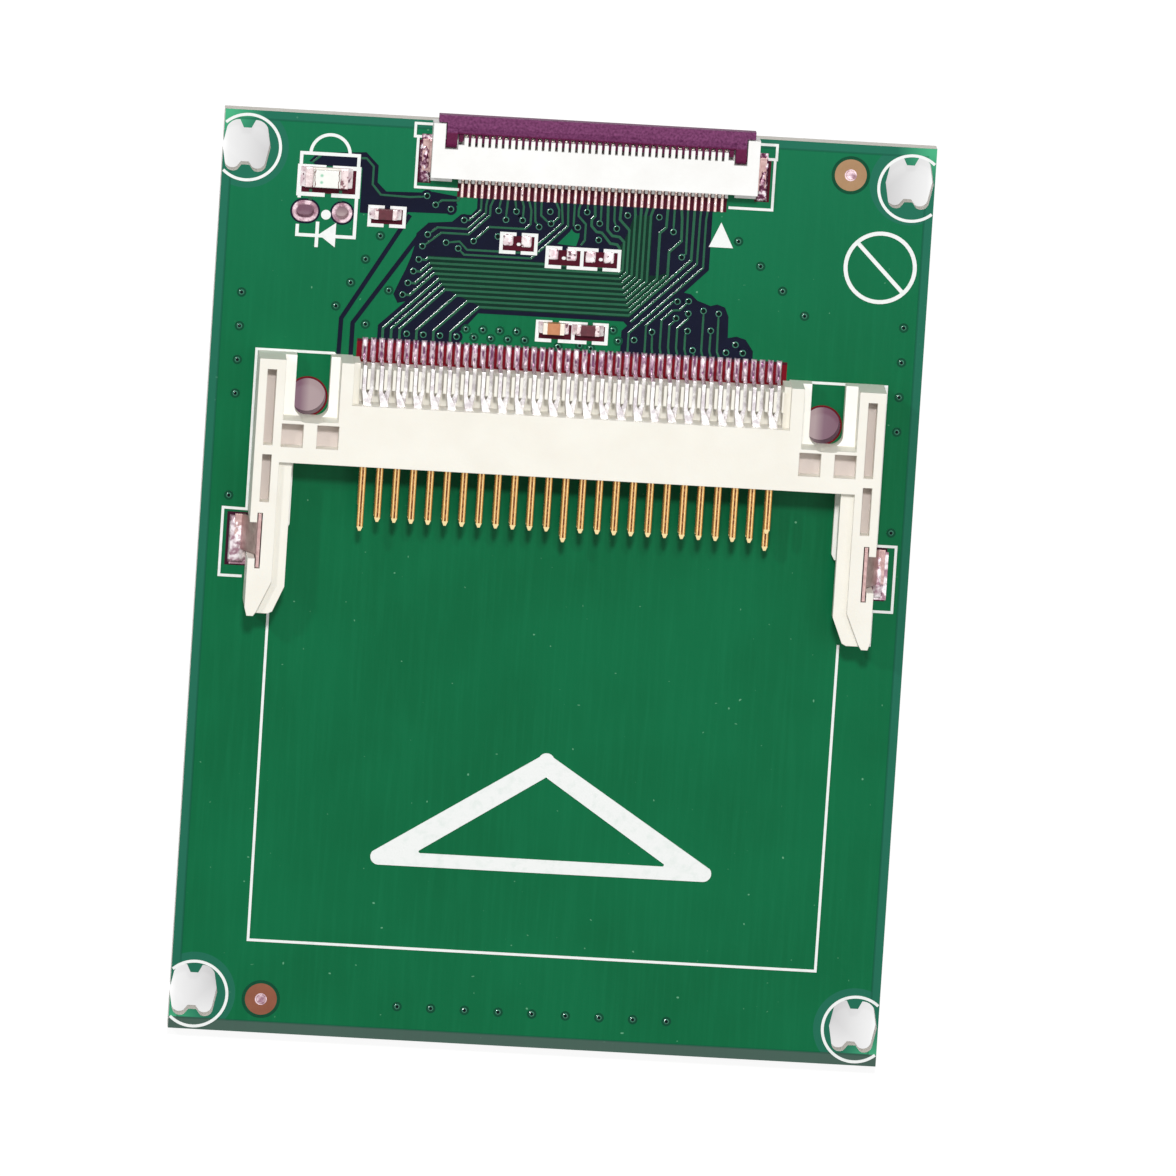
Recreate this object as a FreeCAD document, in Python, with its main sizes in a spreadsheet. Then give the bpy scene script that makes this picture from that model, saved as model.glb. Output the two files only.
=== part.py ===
"""Adapter board that joins a 50 pin memory card to a 40 way flat ribbon.

A green laminate board carries a cream card header with two guide arms, a white
flip-lock ribbon connector with a dark locking bar, and a few chip components.

Frame, in millimetres: X across the board, Y along it towards the ribbon edge,
Z up out of the component side. The origin is the centre of the underside.
"""
import FreeCAD, Part
import os
import re
import Sketcher
from FreeCAD import Rotation, Vector

SIZES = {
    # laminate board and its cut-outs
    "board_width": 53.4,
    "board_length": 70.0,
    "board_thickness": 1.6,
    "corner_hole_inset_left": 1.74,
    "corner_hole_inset_right": 1.9,
    "corner_hole_inset_ribbon_end": 2.75,
    "corner_hole_inset_card_end": 2.93,
    "corner_hole_width": 3.6,
    "corner_hole_height": 4.0,
    "corner_tab_width": 0.58,
    "corner_tab_depth": 0.6,
    "corner_hole_waist": 1.53,
    "corner_hole_shoulder": 1.42,
    "corner_hole_bulge_top": 0.17,
    "corner_hole_bulge_bottom": 0.27,
    "corner_hole_bottom_drop": 0.2,
    "screw_hole_radius": 1.4,
    "screw_hole_shift_x": -0.29,
    "screw_hole_shift_y": 0.17,
    # card connector, one moulding
    "card_centre_x": 0.38,
    "card_header_inset": 25.85,
    "card_height": 4.2,
    "card_header_depth": 4.58,
    "card_end_depth": 7.77,
    "card_comb_margin": 0.025,
    "card_wall": 1.9,
    "card_arm_reach": 11.75,
    "card_arm_taper": 2.7,
    "card_tip_width": 0.86,
    "card_tip_bevel_width": 0.2,
    "card_tip_bevel_length": 0.3,
    "card_tip_corner_width": 0.18,
    "card_tip_corner_length": 0.6,
    "card_tongue_width": 1.0,
    "card_tongue_height": 2.5,
    "card_tongue_thickness": 1.1,
    "card_tongue_taper": 2.25,
    "card_tongue_slant": 0.8,
    "card_tongue_nose": 0.32,
    "card_tongue_setback": 0.15,
    "card_rib_width": 0.22,
    "card_rib_height": 0.8,
    "card_rib_length": 5.2,
    "card_rib_chamfer": 0.4,
    "card_end_width": 7.1,
    "card_ledge_width": 0.5,
    "card_ledge_height": 3.1,
    "card_ledge_setback": 0.09,
    "card_comb_height": 3.4,
    "card_comb_depth": 2.72,
    "card_comb_floor": 1.72,
    "card_comb_rib": 0.24,
    "card_groove": 1.17,
    "card_screw_inset": 4.17,
    "card_screw_setback": 4.28,
    "card_screw_slot": 2.56,
    "card_screw_slot_end": 1.2,
    "card_screw_slot_corner": 0.9,
    "card_flange_height": 1.5,
    "card_recess_inner": 0.7,
    "card_recess_outer": 0.9,
    "card_recess_stop": 3.2,
    "card_pocket_depth": 1.5,
    "card_pocket_width": 1.64,
    "card_pocket_length": 1.78,
    "card_pocket_setback": 1.17,
    "card_pocket_pitch": 2.66,
    "card_pocket_shift": 0.08,
    "card_long_pocket_width": 0.7,
    "card_long_pocket_inset": 0.62,
    "card_long_pocket_setback": 1.25,
    "card_long_pocket_length": 5.75,
    "card_arm_pocket_length": 3.63,
    "card_arm_pocket_gap": 0.7,
    # card contacts
    "pin_count": 25,
    "pin_pitch": 1.27,
    "pin_width": 0.46,
    "pin_thickness": 0.4,
    "pin_tip": 0.35,
    "pin_tip_end": 0.18,
    "pin_signal_length": 4.25,
    "pin_power_length": 5.0,
    "pin_detect_length": 3.5,
    "upper_row_height": 3.15,
    "row_spacing": 1.27,
    "tail_width": 0.28,
    "tail_thickness": 0.22,
    "tail_shoulder_width": 0.62,
    "tail_neck": 1.05,
    "tail_drop": 0.4,
    "tail_foot_length": 1.0,
    "tail_clearance": 0.12,
    "solder_thickness": 0.09,
    # metal tabs of the card connector
    "tab_slot_width": 0.4,
    "tab_slot_length": 4.22,
    "tab_slot_inset": 0.54,
    "tab_slot_setback": 3.91,
    "tab_notch_length": 2.75,
    "tab_clearance": 0.06,
    "tab_thickness": 0.25,
    "tab_foot_reach": 0.95,
    "tab_foot_flat": 0.5,
    "tab_rise": 2.6,
    "tab_pad_length": 3.65,
    "tab_pad_overhang": 1.15,
    "tab_pad_margin": 0.26,
    # ribbon connector
    "ribbon_centre_x": 1.1,
    "ribbon_inset": 4.05,
    "ribbon_height": 2.0,
    "ribbon_side_gap": 0.35,
    "ribbon_side_block_width": 0.98,
    "ribbon_ear": 0.92,
    "ribbon_ear_length": 4.15,
    "ribbon_floor": 0.3,
    "ribbon_roof": 0.5,
    "ribbon_back_wall": 0.27,
    "ribbon_roof_length": 2.59,
    "ribbon_finger_length": 0.56,
    "ribbon_finger_width": 0.3,
    "ribbon_finger_gap_root": 0.11,
    "ribbon_side_block_length": 2.23,
    "ribbon_back_ledge_length": 0.38,
    "ribbon_back_ledge_inset": 1.65,
    "ribbon_back_ledge_gap": 0.05,
    "ribbon_back_height": 0.9,
    "contact_count": 40,
    "contact_pitch": 0.5,
    "contact_width": 0.2,
    "contact_thickness": 0.2,
    "contact_arm_length": 3.2,
    "contact_arm_rise": 0.85,
    "contact_foot_length": 1.0,
    "contact_exit": 0.31,
    "contact_bend": 0.3,
    "ribbon_tab_width": 0.65,
    "ribbon_tab_length": 2.4,
    "ribbon_tab_height": 0.9,
    "ribbon_tab_thickness": 0.15,
    "ribbon_tab_setback": 0.25,
    "ribbon_tab_pad_length": 3.0,
    "ribbon_tab_pad_margin": 0.1,
    # locking bar
    "latch_pivot_setback": 2.71,
    "latch_pivot_height": 1.6,
    "latch_hub_radius": 0.4,
    "latch_side_clearance": 0.09,
    "latch_bar_setback": 0.67,
    "latch_bar_depth": 1.42,
    "latch_bar_height": 0.95,
    "latch_face_depth": 0.55,
    "latch_face_drop": 0.22,
    "latch_lip_inset": 0.38,
    "latch_lip_gap": 0.1,
    "trunnion_radius": 0.2,
    "trunnion_length": 0.42,
    "trunnion_clearance": 0.05,
    # chip components
    "led_inset_left": 7.86,
    "led_inset_end": 4.74,
    "led_length": 3.2,
    "led_width": 1.5,
    "led_base_height": 0.5,
    "led_lens_height": 0.6,
    "led_lens_margin": 0.1,
    "led_end": 0.6,
    "led_end_height": 0.55,
    "led_hole_drop": 2.65,
    "led_hole_offset_left": 1.44,
    "led_hole_offset_right": 1.33,
    "led_hole_radius": 0.53,
    "led_hole_stretch": 0.35,
    "led_resistor_inset_left": 12.43,
    "led_resistor_inset_end": 7.26,
    "signal_resistor_x": 1.43,
    "signal_resistor_setback": 10.67,
    "resistor_length": 1.7,
    "resistor_width": 0.8,
    "resistor_height": 0.45,
    "resistor_end": 0.32,
    "capacitor_x": -1.16,
    "capacitor_setback": 10.7,
    "capacitor_length": 1.6,
    "capacitor_width": 0.85,
    "capacitor_height": 0.8,
    "capacitor_end": 0.33,
    "fillet_reach": 0.36,
    "fillet_height": 0.28,
}

# Sizes and places that follow from the others.
FOLLOWING = {
    "card_header_y": "board_length / 2 - card_header_inset",
    "card_half_width": "pin_count * pin_pitch / 2 + card_comb_margin + card_ledge_width"
                       " + card_end_width",
    "card_screw_offset": "card_half_width - card_screw_inset",
    "ribbon_slot_half_width": "contact_count * contact_pitch / 2 + ribbon_side_gap",
    "ribbon_half_width": "ribbon_slot_half_width + ribbon_side_block_width + ribbon_ear",
    "latch_lip_half_width": "ribbon_half_width - latch_lip_inset",
    "led_x": "led_inset_left - board_width / 2",
    "led_y": "board_length / 2 - led_inset_end",
    "led_resistor_x": "led_resistor_inset_left - board_width / 2",
    "led_resistor_y": "board_length / 2 - led_resistor_inset_end",
    "signal_resistor_y": "card_header_y + signal_resistor_setback",
    "capacitor_y": "card_header_y + capacitor_setback",
}

doc = FreeCAD.newDocument("CardToRibbonAdapter")
sheet = doc.addObject("Spreadsheet::Sheet", "Sizes")
for row, (alias, value) in enumerate(SIZES.items(), start=1):
    sheet.set(f"A{row}", alias)
    sheet.set(f"B{row}", str(value))
    sheet.setAlias(f"B{row}", alias)
following = doc.addObject("App::VarSet", "Following")


def bind(target, path, formula):
    """Tie one property of an object to a formula of the sizes."""
    def with_owner(match):
        word = match.group()
        if word in SIZES:
            return "Sizes." + word
        return "Following." + word if word in FOLLOWING else word
    target.setExpression(path, re.sub(r"[a-z_]+", with_owner, formula))


for alias, formula in FOLLOWING.items():
    following.addProperty("App::PropertyFloat", alias)
    bind(following, alias, formula)
doc.recompute()


def size(alias):
    """Read one size, driving or following."""
    return float(getattr(following, alias) if alias in FOLLOWING else sheet.get(alias))


def place(target, x="0", y="0", z="0"):
    """Tie an object's position to formulas."""
    bind(target, "Placement.Base.x", x)
    bind(target, "Placement.Base.y", y)
    bind(target, "Placement.Base.z", z)
    return target


def box(name, corner, lengths):
    """Part box whose corner and three lengths are formulas."""
    made = doc.addObject("Part::Box", name)
    for path, formula in zip(("Length", "Width", "Height"), lengths):
        bind(made, path, formula)
    return place(made, *corner)


def upright(name, x, y, z, radius, height):
    """Part cylinder along Z."""
    made = doc.addObject("Part::Cylinder", name)
    bind(made, "Radius", radius)
    bind(made, "Height", height)
    return place(made, x, y, z)


def crosswise(name, x, y, z, radius, length):
    """Part cylinder along X, starting at x."""
    made = upright(name, x, y, z, radius, length)
    made.Placement.Rotation = Rotation(Vector(0, 1, 0), 90)
    return made


def draw(sketch, points):
    """Closed outline of straight lines in a sketch."""
    for here, there in zip(points, points[1:] + points[:1]):
        sketch.addGeometry(Part.LineSegment(Vector(*here, 0), Vector(*there, 0)))
    last = len(points)
    first = sketch.GeometryCount - last
    for step in range(last):
        sketch.addConstraint(
            Sketcher.Constraint("Coincident", first + step, 2, first + (step + 1) % last, 1))


def extrusion(name, points, z, height):
    """Prism over an outline drawn in X and Y, standing on a formula height."""
    sketch = doc.addObject("Sketcher::SketchObject", name + "Outline")
    draw(sketch, points)
    bind(sketch, "Placement.Base.z", z)
    made = doc.addObject("Part::Extrusion", name)
    made.Base = sketch
    made.DirMode = "Custom"
    made.Dir = Vector(0, 0, 1)
    made.Solid = True
    bind(made, "LengthFwd", height)
    return made


def fuse(name, shapes):
    made = doc.addObject("Part::MultiFuse", name)
    made.Shapes = shapes
    made.Refine = True
    return made


def cut(name, base, tool):
    made = doc.addObject("Part::Cut", name)
    made.Base = base
    made.Tool = tool
    made.Refine = True
    return made


def mirrored(name, source, centre):
    """Mirror image across the plane x = centre."""
    made = doc.addObject("Part::Mirroring", name)
    made.Source = source
    made.Normal = Vector(1, 0, 0)
    bind(made, "Base.x", centre)
    return made


def group(name, solids):
    """Several separate solids of one kind, under one name."""
    made = doc.addObject("Part::Feature", name)
    made.Shape = solids[0] if len(solids) == 1 else Part.makeCompound(solids)
    return made


def block(x_low, x_high, y_low, y_high, z_low, z_high):
    return Part.makeBox(x_high - x_low, y_high - y_low, z_high - z_low, Vector(x_low, y_low, z_low))


def prism(points, direction):
    """Solid swept straight from a closed polygon of 3-D points."""
    corners = [Vector(*point) for point in points]
    return Part.Face(Part.makePolygon(corners + corners[:1])).extrude(Vector(*direction))


def joined(solids):
    """One solid from touching solids, without seam edges."""
    return solids[0].fuse(solids[1:]).removeSplitter()


TOP = "board_thickness"
top = size(TOP)


# Circuit board: glass-fibre laminate routed to a rectangle and drilled through.
board = doc.addObject("PartDesign::Body", "CircuitBoard")
board.Label = "circuit_board"
board_plane = next(plane for plane in board.Origin.OriginFeatures if plane.Role == "XY_Plane")

blank = board.newObject("Sketcher::SketchObject", "BoardOutline")
blank.AttachmentSupport = (board_plane, [""])
blank.MapMode = "FlatFace"
half_width = size("board_width") / 2
half_length = size("board_length") / 2
draw(blank, [(-half_width, -half_length), (half_width, -half_length),
             (half_width, half_length), (-half_width, half_length)])
blank.addConstraint(Sketcher.Constraint("Horizontal", 0))
blank.addConstraint(Sketcher.Constraint("Vertical", 1))
blank.addConstraint(Sketcher.Constraint("Horizontal", 2))
blank.addConstraint(Sketcher.Constraint("Vertical", 3))
blank.addConstraint(Sketcher.Constraint("Symmetric", 0, 1, 1, 2, -1, 1))
width_rule = blank.addConstraint(Sketcher.Constraint("DistanceX", 0, 1, 0, 2, 2 * half_width))
length_rule = blank.addConstraint(Sketcher.Constraint("DistanceY", 1, 1, 1, 2, 2 * half_length))
bind(blank, f"Constraints[{width_rule}]", "board_width")
bind(blank, f"Constraints[{length_rule}]", "board_length")
slab = board.newObject("PartDesign::Pad", "BoardSlab")
slab.Profile = blank
bind(slab, "Length", "board_thickness")

cutouts = board.newObject("Sketcher::SketchObject", "BoardCutouts")
cutouts.AttachmentSupport = (board_plane, [""])
cutouts.MapMode = "FlatFace"


def ring(x, y, radius):
    cutouts.addGeometry(Part.Circle(Vector(x, y, 0), Vector(0, 0, 1), radius))


def toothed_hole(x, y):
    """Barrel-shaped corner hole with a small tab at its top and at its bottom."""
    half = size("corner_hole_width") / 2
    tall = size("corner_hole_height") / 2
    tab = size("corner_tab_width") / 2
    depth = size("corner_tab_depth")
    root = tab + depth / 2
    waist = size("corner_hole_waist")
    shoulder = size("corner_hole_shoulder")

    def at(side, across, along):
        return Vector(x + side * across, y + along, 0)

    def line(start, end):
        cutouts.addGeometry(Part.LineSegment(start, end))

    for end, edge, bulge in ((1, tall, size("corner_hole_bulge_top")),
                             (-1, tall - size("corner_hole_bottom_drop"),
                              size("corner_hole_bulge_bottom"))):
        for side in (-1, 1):
            start = at(side, root, end * edge)
            stop = at(side, waist, end * shoulder)
            outward = Vector(side * (edge - shoulder), end * (waist - root), 0).normalize()
            cutouts.addGeometry(Part.Arc(start, (start + stop) / 2 + outward * bulge, stop))
            line(stop, at(side, half, 0))
            line(start, at(side, tab, end * (tall - depth)))
        line(at(-1, tab, end * (tall - depth)), at(1, tab, end * (tall - depth)))


hole_left = size("corner_hole_inset_left") - half_width
hole_right = half_width - size("corner_hole_inset_right")
hole_ribbon_end = half_length - size("corner_hole_inset_ribbon_end")
hole_card_end = size("corner_hole_inset_card_end") - half_length
for hole_x in (hole_left, hole_right):
    for hole_y in (hole_ribbon_end, hole_card_end):
        toothed_hole(hole_x, hole_y)

card_x = size("card_centre_x")
header_front = size("card_header_y")
screw_y = header_front + size("card_screw_setback") + size("screw_hole_shift_y")
for side in (-1, 1):
    ring(card_x + side * size("card_screw_offset") + size("screw_hole_shift_x"), screw_y,
         size("screw_hole_radius"))

led_hole_y = size("led_y") - size("led_hole_drop")
ring(size("led_x") + size("led_hole_offset_right"), led_hole_y, size("led_hole_radius"))
oval_x = size("led_x") - size("led_hole_offset_left")
oval_half = size("led_hole_stretch") / 2
oval_radius = size("led_hole_radius")
for side in (-1, 1):
    end_x = oval_x + side * oval_half
    cutouts.addGeometry(Part.Arc(Vector(end_x, led_hole_y - side * oval_radius, 0),
                                 Vector(end_x + side * oval_radius, led_hole_y, 0),
                                 Vector(end_x, led_hole_y + side * oval_radius, 0)))
    cutouts.addGeometry(Part.LineSegment(
        Vector(oval_x - oval_half, led_hole_y + side * oval_radius, 0),
        Vector(oval_x + oval_half, led_hole_y + side * oval_radius, 0)))

drilling = board.newObject("PartDesign::Pocket", "BoardDrilling")
drilling.Profile = cutouts
drilling.Type = "ThroughAll"
drilling.Reversed = True
board.Tip = drilling


# Card connector housing: cream thermoplastic moulded in one shot. The right half is
# built from blocks and cored out, mirrored, and then slotted for the contacts.
header = box("CardHeader", ("card_centre_x", "card_header_y", TOP),
             ("card_half_width - card_end_width", "card_header_depth", "card_height"))
end_block = box("CardEndBlock",
                ("card_centre_x + card_half_width - card_end_width", "card_header_y", TOP),
                ("card_end_width", "card_end_depth", "card_height"))
ledge = box("CardLedge",
            ("card_centre_x + card_half_width - card_end_width - card_ledge_width",
             "card_header_y + card_header_depth", TOP),
            ("card_ledge_width", "card_end_depth - card_header_depth - card_ledge_setback",
             "card_ledge_height"))
comb = box("CardComb", ("card_centre_x", "card_header_y + card_header_depth", TOP),
           ("card_half_width - card_end_width - card_ledge_width", "card_comb_depth",
            "card_comb_height"))
base_rib = box("CardBaseRib",
               ("card_centre_x + card_half_width - card_wall - card_tongue_width - card_rib_width",
                "card_header_y - card_rib_length", TOP),
               ("card_rib_width + card_tongue_width", "card_rib_length", "card_rib_height"))

wall_out = card_x + size("card_half_width")
wall_in = wall_out - size("card_wall")
tongue_in = wall_in - size("card_tongue_width")
arm_tip = header_front - size("card_arm_reach")
tip_in = wall_out - size("card_tip_width")
wall = extrusion("CardWall", [
    (wall_in, header_front),
    (wall_in, arm_tip + size("card_arm_taper")),
    (tip_in, arm_tip + size("card_tip_bevel_length")),
    (tip_in + size("card_tip_bevel_width"), arm_tip),
    (wall_out - size("card_tip_corner_width"), arm_tip),
    (wall_out, arm_tip + size("card_tip_corner_length")),
    (wall_out, header_front)], TOP, "card_height")
nose_x = tongue_in + size("card_tongue_slant")
tongue_end = arm_tip + size("card_tongue_setback")
tongue = extrusion("CardTongue", [
    (tongue_in, header_front),
    (tongue_in, arm_tip + size("card_tongue_taper")),
    (nose_x, arm_tip + size("card_tongue_nose")),
    (nose_x + size("card_tongue_nose"), tongue_end),
    (tip_in, tongue_end),
    (tip_in, header_front)], "board_thickness + card_tongue_height",
    "card_tongue_thickness")
rib_end = header_front - size("card_rib_length")
rib_chamfer = extrusion("CardRibChamfer", [
    (tongue_in, rib_end - size("card_rib_chamfer")),
    (wall_in, rib_end - size("card_rib_chamfer")),
    (wall_in, rib_end),
    (tongue_in - size("card_rib_width"), rib_end)],
    TOP, "card_rib_height")
half_solid = fuse("CardHalfSolid", [header, end_block, ledge, comb, base_rib, wall, tongue, rib_chamfer])

SLOT_X = "card_centre_x + card_screw_offset - card_screw_slot / 2"
SLOT_END = "card_header_y + card_screw_setback - card_screw_slot_end"
CORNER_Y = SLOT_END + " + card_screw_slot_corner"
screw_gap = box("CardScrewGap", (SLOT_X, CORNER_Y, TOP),
                ("card_screw_slot", "card_end_depth", "card_height"))
screw_end = box("CardScrewEnd", (SLOT_X + " + card_screw_slot_corner", SLOT_END, TOP),
                ("card_screw_slot - 2 * card_screw_slot_corner", "card_end_depth", "card_height"))
screw_corners = [
    upright("CardScrewCornerInner", SLOT_X + " + card_screw_slot_corner", CORNER_Y, TOP,
            "card_screw_slot_corner", "card_height"),
    upright("CardScrewCornerOuter", SLOT_X + " + card_screw_slot - card_screw_slot_corner",
            CORNER_Y, TOP, "card_screw_slot_corner", "card_height")]
screw_recess = box("CardScrewRecess",
                   (SLOT_X + " - card_recess_inner", "card_header_y + card_recess_stop",
                    "board_thickness + card_flange_height"),
                   ("card_recess_inner + card_screw_slot + card_recess_outer", "card_end_depth",
                    "card_height"))
POCKET_Z = "board_thickness + card_height - card_pocket_depth"
pocket_inner = box("CardPocketInner",
                   ("card_centre_x + card_screw_offset - (card_pocket_pitch + card_pocket_width) / 2"
                    " + card_pocket_shift", "card_header_y + card_pocket_setback", POCKET_Z),
                   ("card_pocket_width", "card_pocket_length", "card_pocket_depth"))
pocket_outer = box("CardPocketOuter",
                   ("card_centre_x + card_screw_offset + (card_pocket_pitch - card_pocket_width) / 2"
                    " + card_pocket_shift", "card_header_y + card_pocket_setback", POCKET_Z),
                   ("card_pocket_width", "card_pocket_length", "card_pocket_depth"))
LONG_X = "card_centre_x + card_half_width - card_long_pocket_inset - card_long_pocket_width"
long_pocket = box("CardLongPocket", (LONG_X, "card_header_y + card_long_pocket_setback", POCKET_Z),
                  ("card_long_pocket_width", "card_long_pocket_length", "card_pocket_depth"))
arm_pocket = box("CardArmPocket",
                 (LONG_X, "card_header_y + card_long_pocket_setback - card_arm_pocket_gap"
                  " - card_arm_pocket_length", POCKET_Z),
                 ("card_long_pocket_width", "card_arm_pocket_length", "card_pocket_depth"))
TAB_X = "card_centre_x + card_half_width - tab_slot_inset - tab_slot_width"
tab_slot = box("CardTabSlot", (TAB_X, "card_header_y - tab_slot_setback - tab_slot_length", TOP),
               ("tab_slot_width", "tab_slot_length", "card_height"))
tab_notch = box("CardTabNotch",
                ("card_centre_x + card_half_width - tab_slot_inset",
                 "card_header_y - tab_slot_setback - (tab_slot_length + tab_notch_length) / 2", TOP),
                ("tab_slot_inset", "tab_notch_length", "card_height"))
coring = fuse("CardCoring", [screw_gap, screw_end, *screw_corners, screw_recess, pocket_inner,
                             pocket_outer, long_pocket, arm_pocket, tab_slot, tab_notch])
card_half = cut("CardHalf", half_solid, coring)
card_other_half = mirrored("CardOtherHalf", card_half, "card_centre_x")
card_moulding = fuse("CardMoulding", [card_half, card_other_half])

root_y = header_front + size("card_header_depth")
comb_end = root_y + size("card_comb_depth")
pitch = size("pin_pitch")
pins = int(size("pin_count"))
upper_z = top + size("upper_row_height")
lower_z = upper_z - size("row_spacing")
pin_x = [card_x + (number - (pins - 1) / 2) * pitch for number in range(pins)]
tail_x = [x + side * pitch / 4 for x in pin_x for side in (-1, 1)]


def channel(x, z):
    """Square passage that a pin fills inside the header."""
    half = size("pin_width") / 2
    rise = size("pin_thickness") / 2
    return block(x - half, x + half, header_front, root_y, z - rise, z + rise)


channels = [channel(x, z) for x in pin_x for z in (upper_z, lower_z)]
comb_floor = top + size("card_comb_floor")
comb_top = top + size("card_height")
rib_gap = (pitch / 2 - size("card_comb_rib")) / 2
groove_end = root_y + size("card_groove")
groove_half = pins * pitch / 2
comb_slots = [block(x - rib_gap, x + rib_gap, groove_end, comb_end, comb_floor, comb_top) for x in tail_x]
comb_slots.append(block(card_x - groove_half, card_x + groove_half, root_y, groove_end, comb_floor,
                        comb_top))
contact_room = group("CardContactRoom", channels + comb_slots)
card_housing = cut("CardConnectorHousing", card_moulding, contact_room)
card_housing.Label = "card_connector_housing"


# Card contacts: stamped strips. A square gold pin points at the card, and a flat
# tail leaves through the comb and bends down to its pad.
bend_y = comb_end + size("tail_clearance")
foot_start = bend_y + size("tail_drop")
foot_end = foot_start + size("tail_foot_length")


def contact(x, row_z, pin_length, tail_side):
    half = size("pin_width") / 2
    rise = size("pin_thickness") / 2
    end = size("pin_tip_end") / 2
    tip_y = header_front - pin_length
    bar_y = tip_y + size("pin_tip")
    bar = block(x - half, x + half, bar_y, root_y, row_z - rise, row_z + rise)
    point = Part.makeWedge(x - end, tip_y, row_z - end, row_z - rise, x - half,
                           x + end, bar_y, row_z + end, row_z + rise, x + half)
    flat = size("tail_thickness")
    tail = x + tail_side * pitch / 4
    tail_half = size("tail_width") / 2
    shoulder_half = size("tail_shoulder_width") / 2
    neck_y = root_y + size("tail_neck")
    bottom = row_z - flat / 2
    shoulder = prism([(x - shoulder_half, root_y, bottom),
                      (x + shoulder_half, root_y, bottom),
                      (tail + tail_half, neck_y, bottom),
                      (tail - tail_half, neck_y, bottom)], (0, 0, flat))
    strip = prism([(tail - tail_half, neck_y, bottom),
                   (tail - tail_half, bend_y, bottom),
                   (tail - tail_half, foot_start, top),
                   (tail - tail_half, foot_end, top),
                   (tail - tail_half, foot_end, top + flat),
                   (tail - tail_half, foot_start + flat / 2, top + flat),
                   (tail - tail_half, bend_y + flat / 2, bottom + flat),
                   (tail - tail_half, neck_y, bottom + flat)], (2 * tail_half, 0, 0))
    return joined([bar, point, shoulder, strip])


power_pins = {"upper": (0, pins // 2), "lower": (pins // 2, pins - 1)}
detect_pins = {"upper": (pins - 1,), "lower": (0,)}
signal_upper = []
signal_lower = []
power_contacts = []
detect_contacts = []
for row_name, row_z, tail_side, signals in (("upper", upper_z, -1, signal_upper),
                                            ("lower", lower_z, 1, signal_lower)):
    for number, x in enumerate(pin_x):
        if number in power_pins[row_name]:
            power_contacts.append(contact(x, row_z, size("pin_power_length"), tail_side))
        elif number in detect_pins[row_name]:
            detect_contacts.append(contact(x, row_z, size("pin_detect_length"), tail_side))
        else:
            signals.append(contact(x, row_z, size("pin_signal_length"), tail_side))
upper_contacts = group("CardSignalContactsUpper", signal_upper)
upper_contacts.Label = "card_signal_contacts_upper"
lower_contacts = group("CardSignalContactsLower", signal_lower)
lower_contacts.Label = "card_signal_contacts_lower"
long_contacts = group("CardPowerContacts", power_contacts)
long_contacts.Label = "card_power_contacts"
short_contacts = group("CardDetectContacts", detect_contacts)
short_contacts.Label = "card_detect_contacts"


# Card hold-downs: a spring blade stands in each arm's slot, and its lug slopes
# down through the notch to a soldered foot.
pad_top = top + size("solder_thickness")
slot_y = header_front - size("tab_slot_setback") - size("tab_slot_length") / 2
blade_half = size("tab_slot_length") / 2 - size("tab_clearance")
lug_half = size("tab_notch_length") / 2 - size("tab_clearance")
slot_out = size("card_half_width") - size("tab_slot_inset")
blade_in = slot_out - size("tab_slot_width") / 2 - size("tab_thickness") / 2
foot_bend = size("card_half_width") + size("tab_foot_reach") - size("tab_foot_flat")
foot_tip = foot_bend + size("tab_foot_flat")


def hold_down(side):
    """Bent sheet tab on one arm. side is -1 for the left arm and 1 for the right."""
    sheet_metal = size("tab_thickness")
    blade_top = top + size("card_height") - size("tab_clearance")
    lug_z = top + size("tab_rise")
    inner = card_x + side * blade_in
    outer = inner + side * sheet_metal
    blade = prism([(inner, slot_y - blade_half, pad_top), (outer, slot_y - blade_half, pad_top),
                   (outer, slot_y + blade_half, pad_top), (inner, slot_y + blade_half, pad_top)],
                  (0, 0, blade_top - pad_top))
    bend = card_x + side * foot_bend
    end = card_x + side * foot_tip
    start_y = slot_y - lug_half
    lug = prism([(outer, start_y, lug_z), (outer, start_y, lug_z - sheet_metal),
                 (bend - side * sheet_metal, start_y, pad_top), (end, start_y, pad_top),
                 (end, start_y, pad_top + sheet_metal), (bend, start_y, pad_top + sheet_metal)],
                (0, 2 * lug_half, 0))
    return joined([blade, lug])


tab_left = group("CardHoldDownLeft", [hold_down(-1)])
tab_left.Label = "card_hold_down_left"
tab_right = group("CardHoldDownRight", [hold_down(1)])
tab_right.Label = "card_hold_down_right"


# Ribbon connector housing: white moulding, open at the board's edge, with a slotted
# roof and two ears that hold the locking bar.
RIBBON_Y = "board_length / 2 - ribbon_inset"
LEFT_X = "ribbon_centre_x - ribbon_half_width"
ribbon_floor = box("RibbonFloor", (LEFT_X, RIBBON_Y, TOP),
                   ("2 * ribbon_half_width", "ribbon_ear_length", "ribbon_floor"))
back_wall = box("RibbonBackWall", (LEFT_X, RIBBON_Y, TOP),
                ("2 * ribbon_half_width", "ribbon_back_wall", "ribbon_height"))
roof = box("RibbonRoof",
           ("ribbon_centre_x - ribbon_slot_half_width", RIBBON_Y,
            "board_thickness + ribbon_height - ribbon_roof"),
           ("2 * ribbon_slot_half_width", "ribbon_roof_length + ribbon_finger_length",
            "ribbon_roof"))
ear = box("RibbonEar",
          ("ribbon_centre_x + ribbon_half_width - ribbon_ear", RIBBON_Y, TOP),
          ("ribbon_ear", "ribbon_ear_length", "ribbon_height"))
side_block = box("RibbonSideBlock", ("ribbon_centre_x + ribbon_slot_half_width", RIBBON_Y, TOP),
                 ("ribbon_side_block_width", "ribbon_side_block_length", "ribbon_height"))
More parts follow.
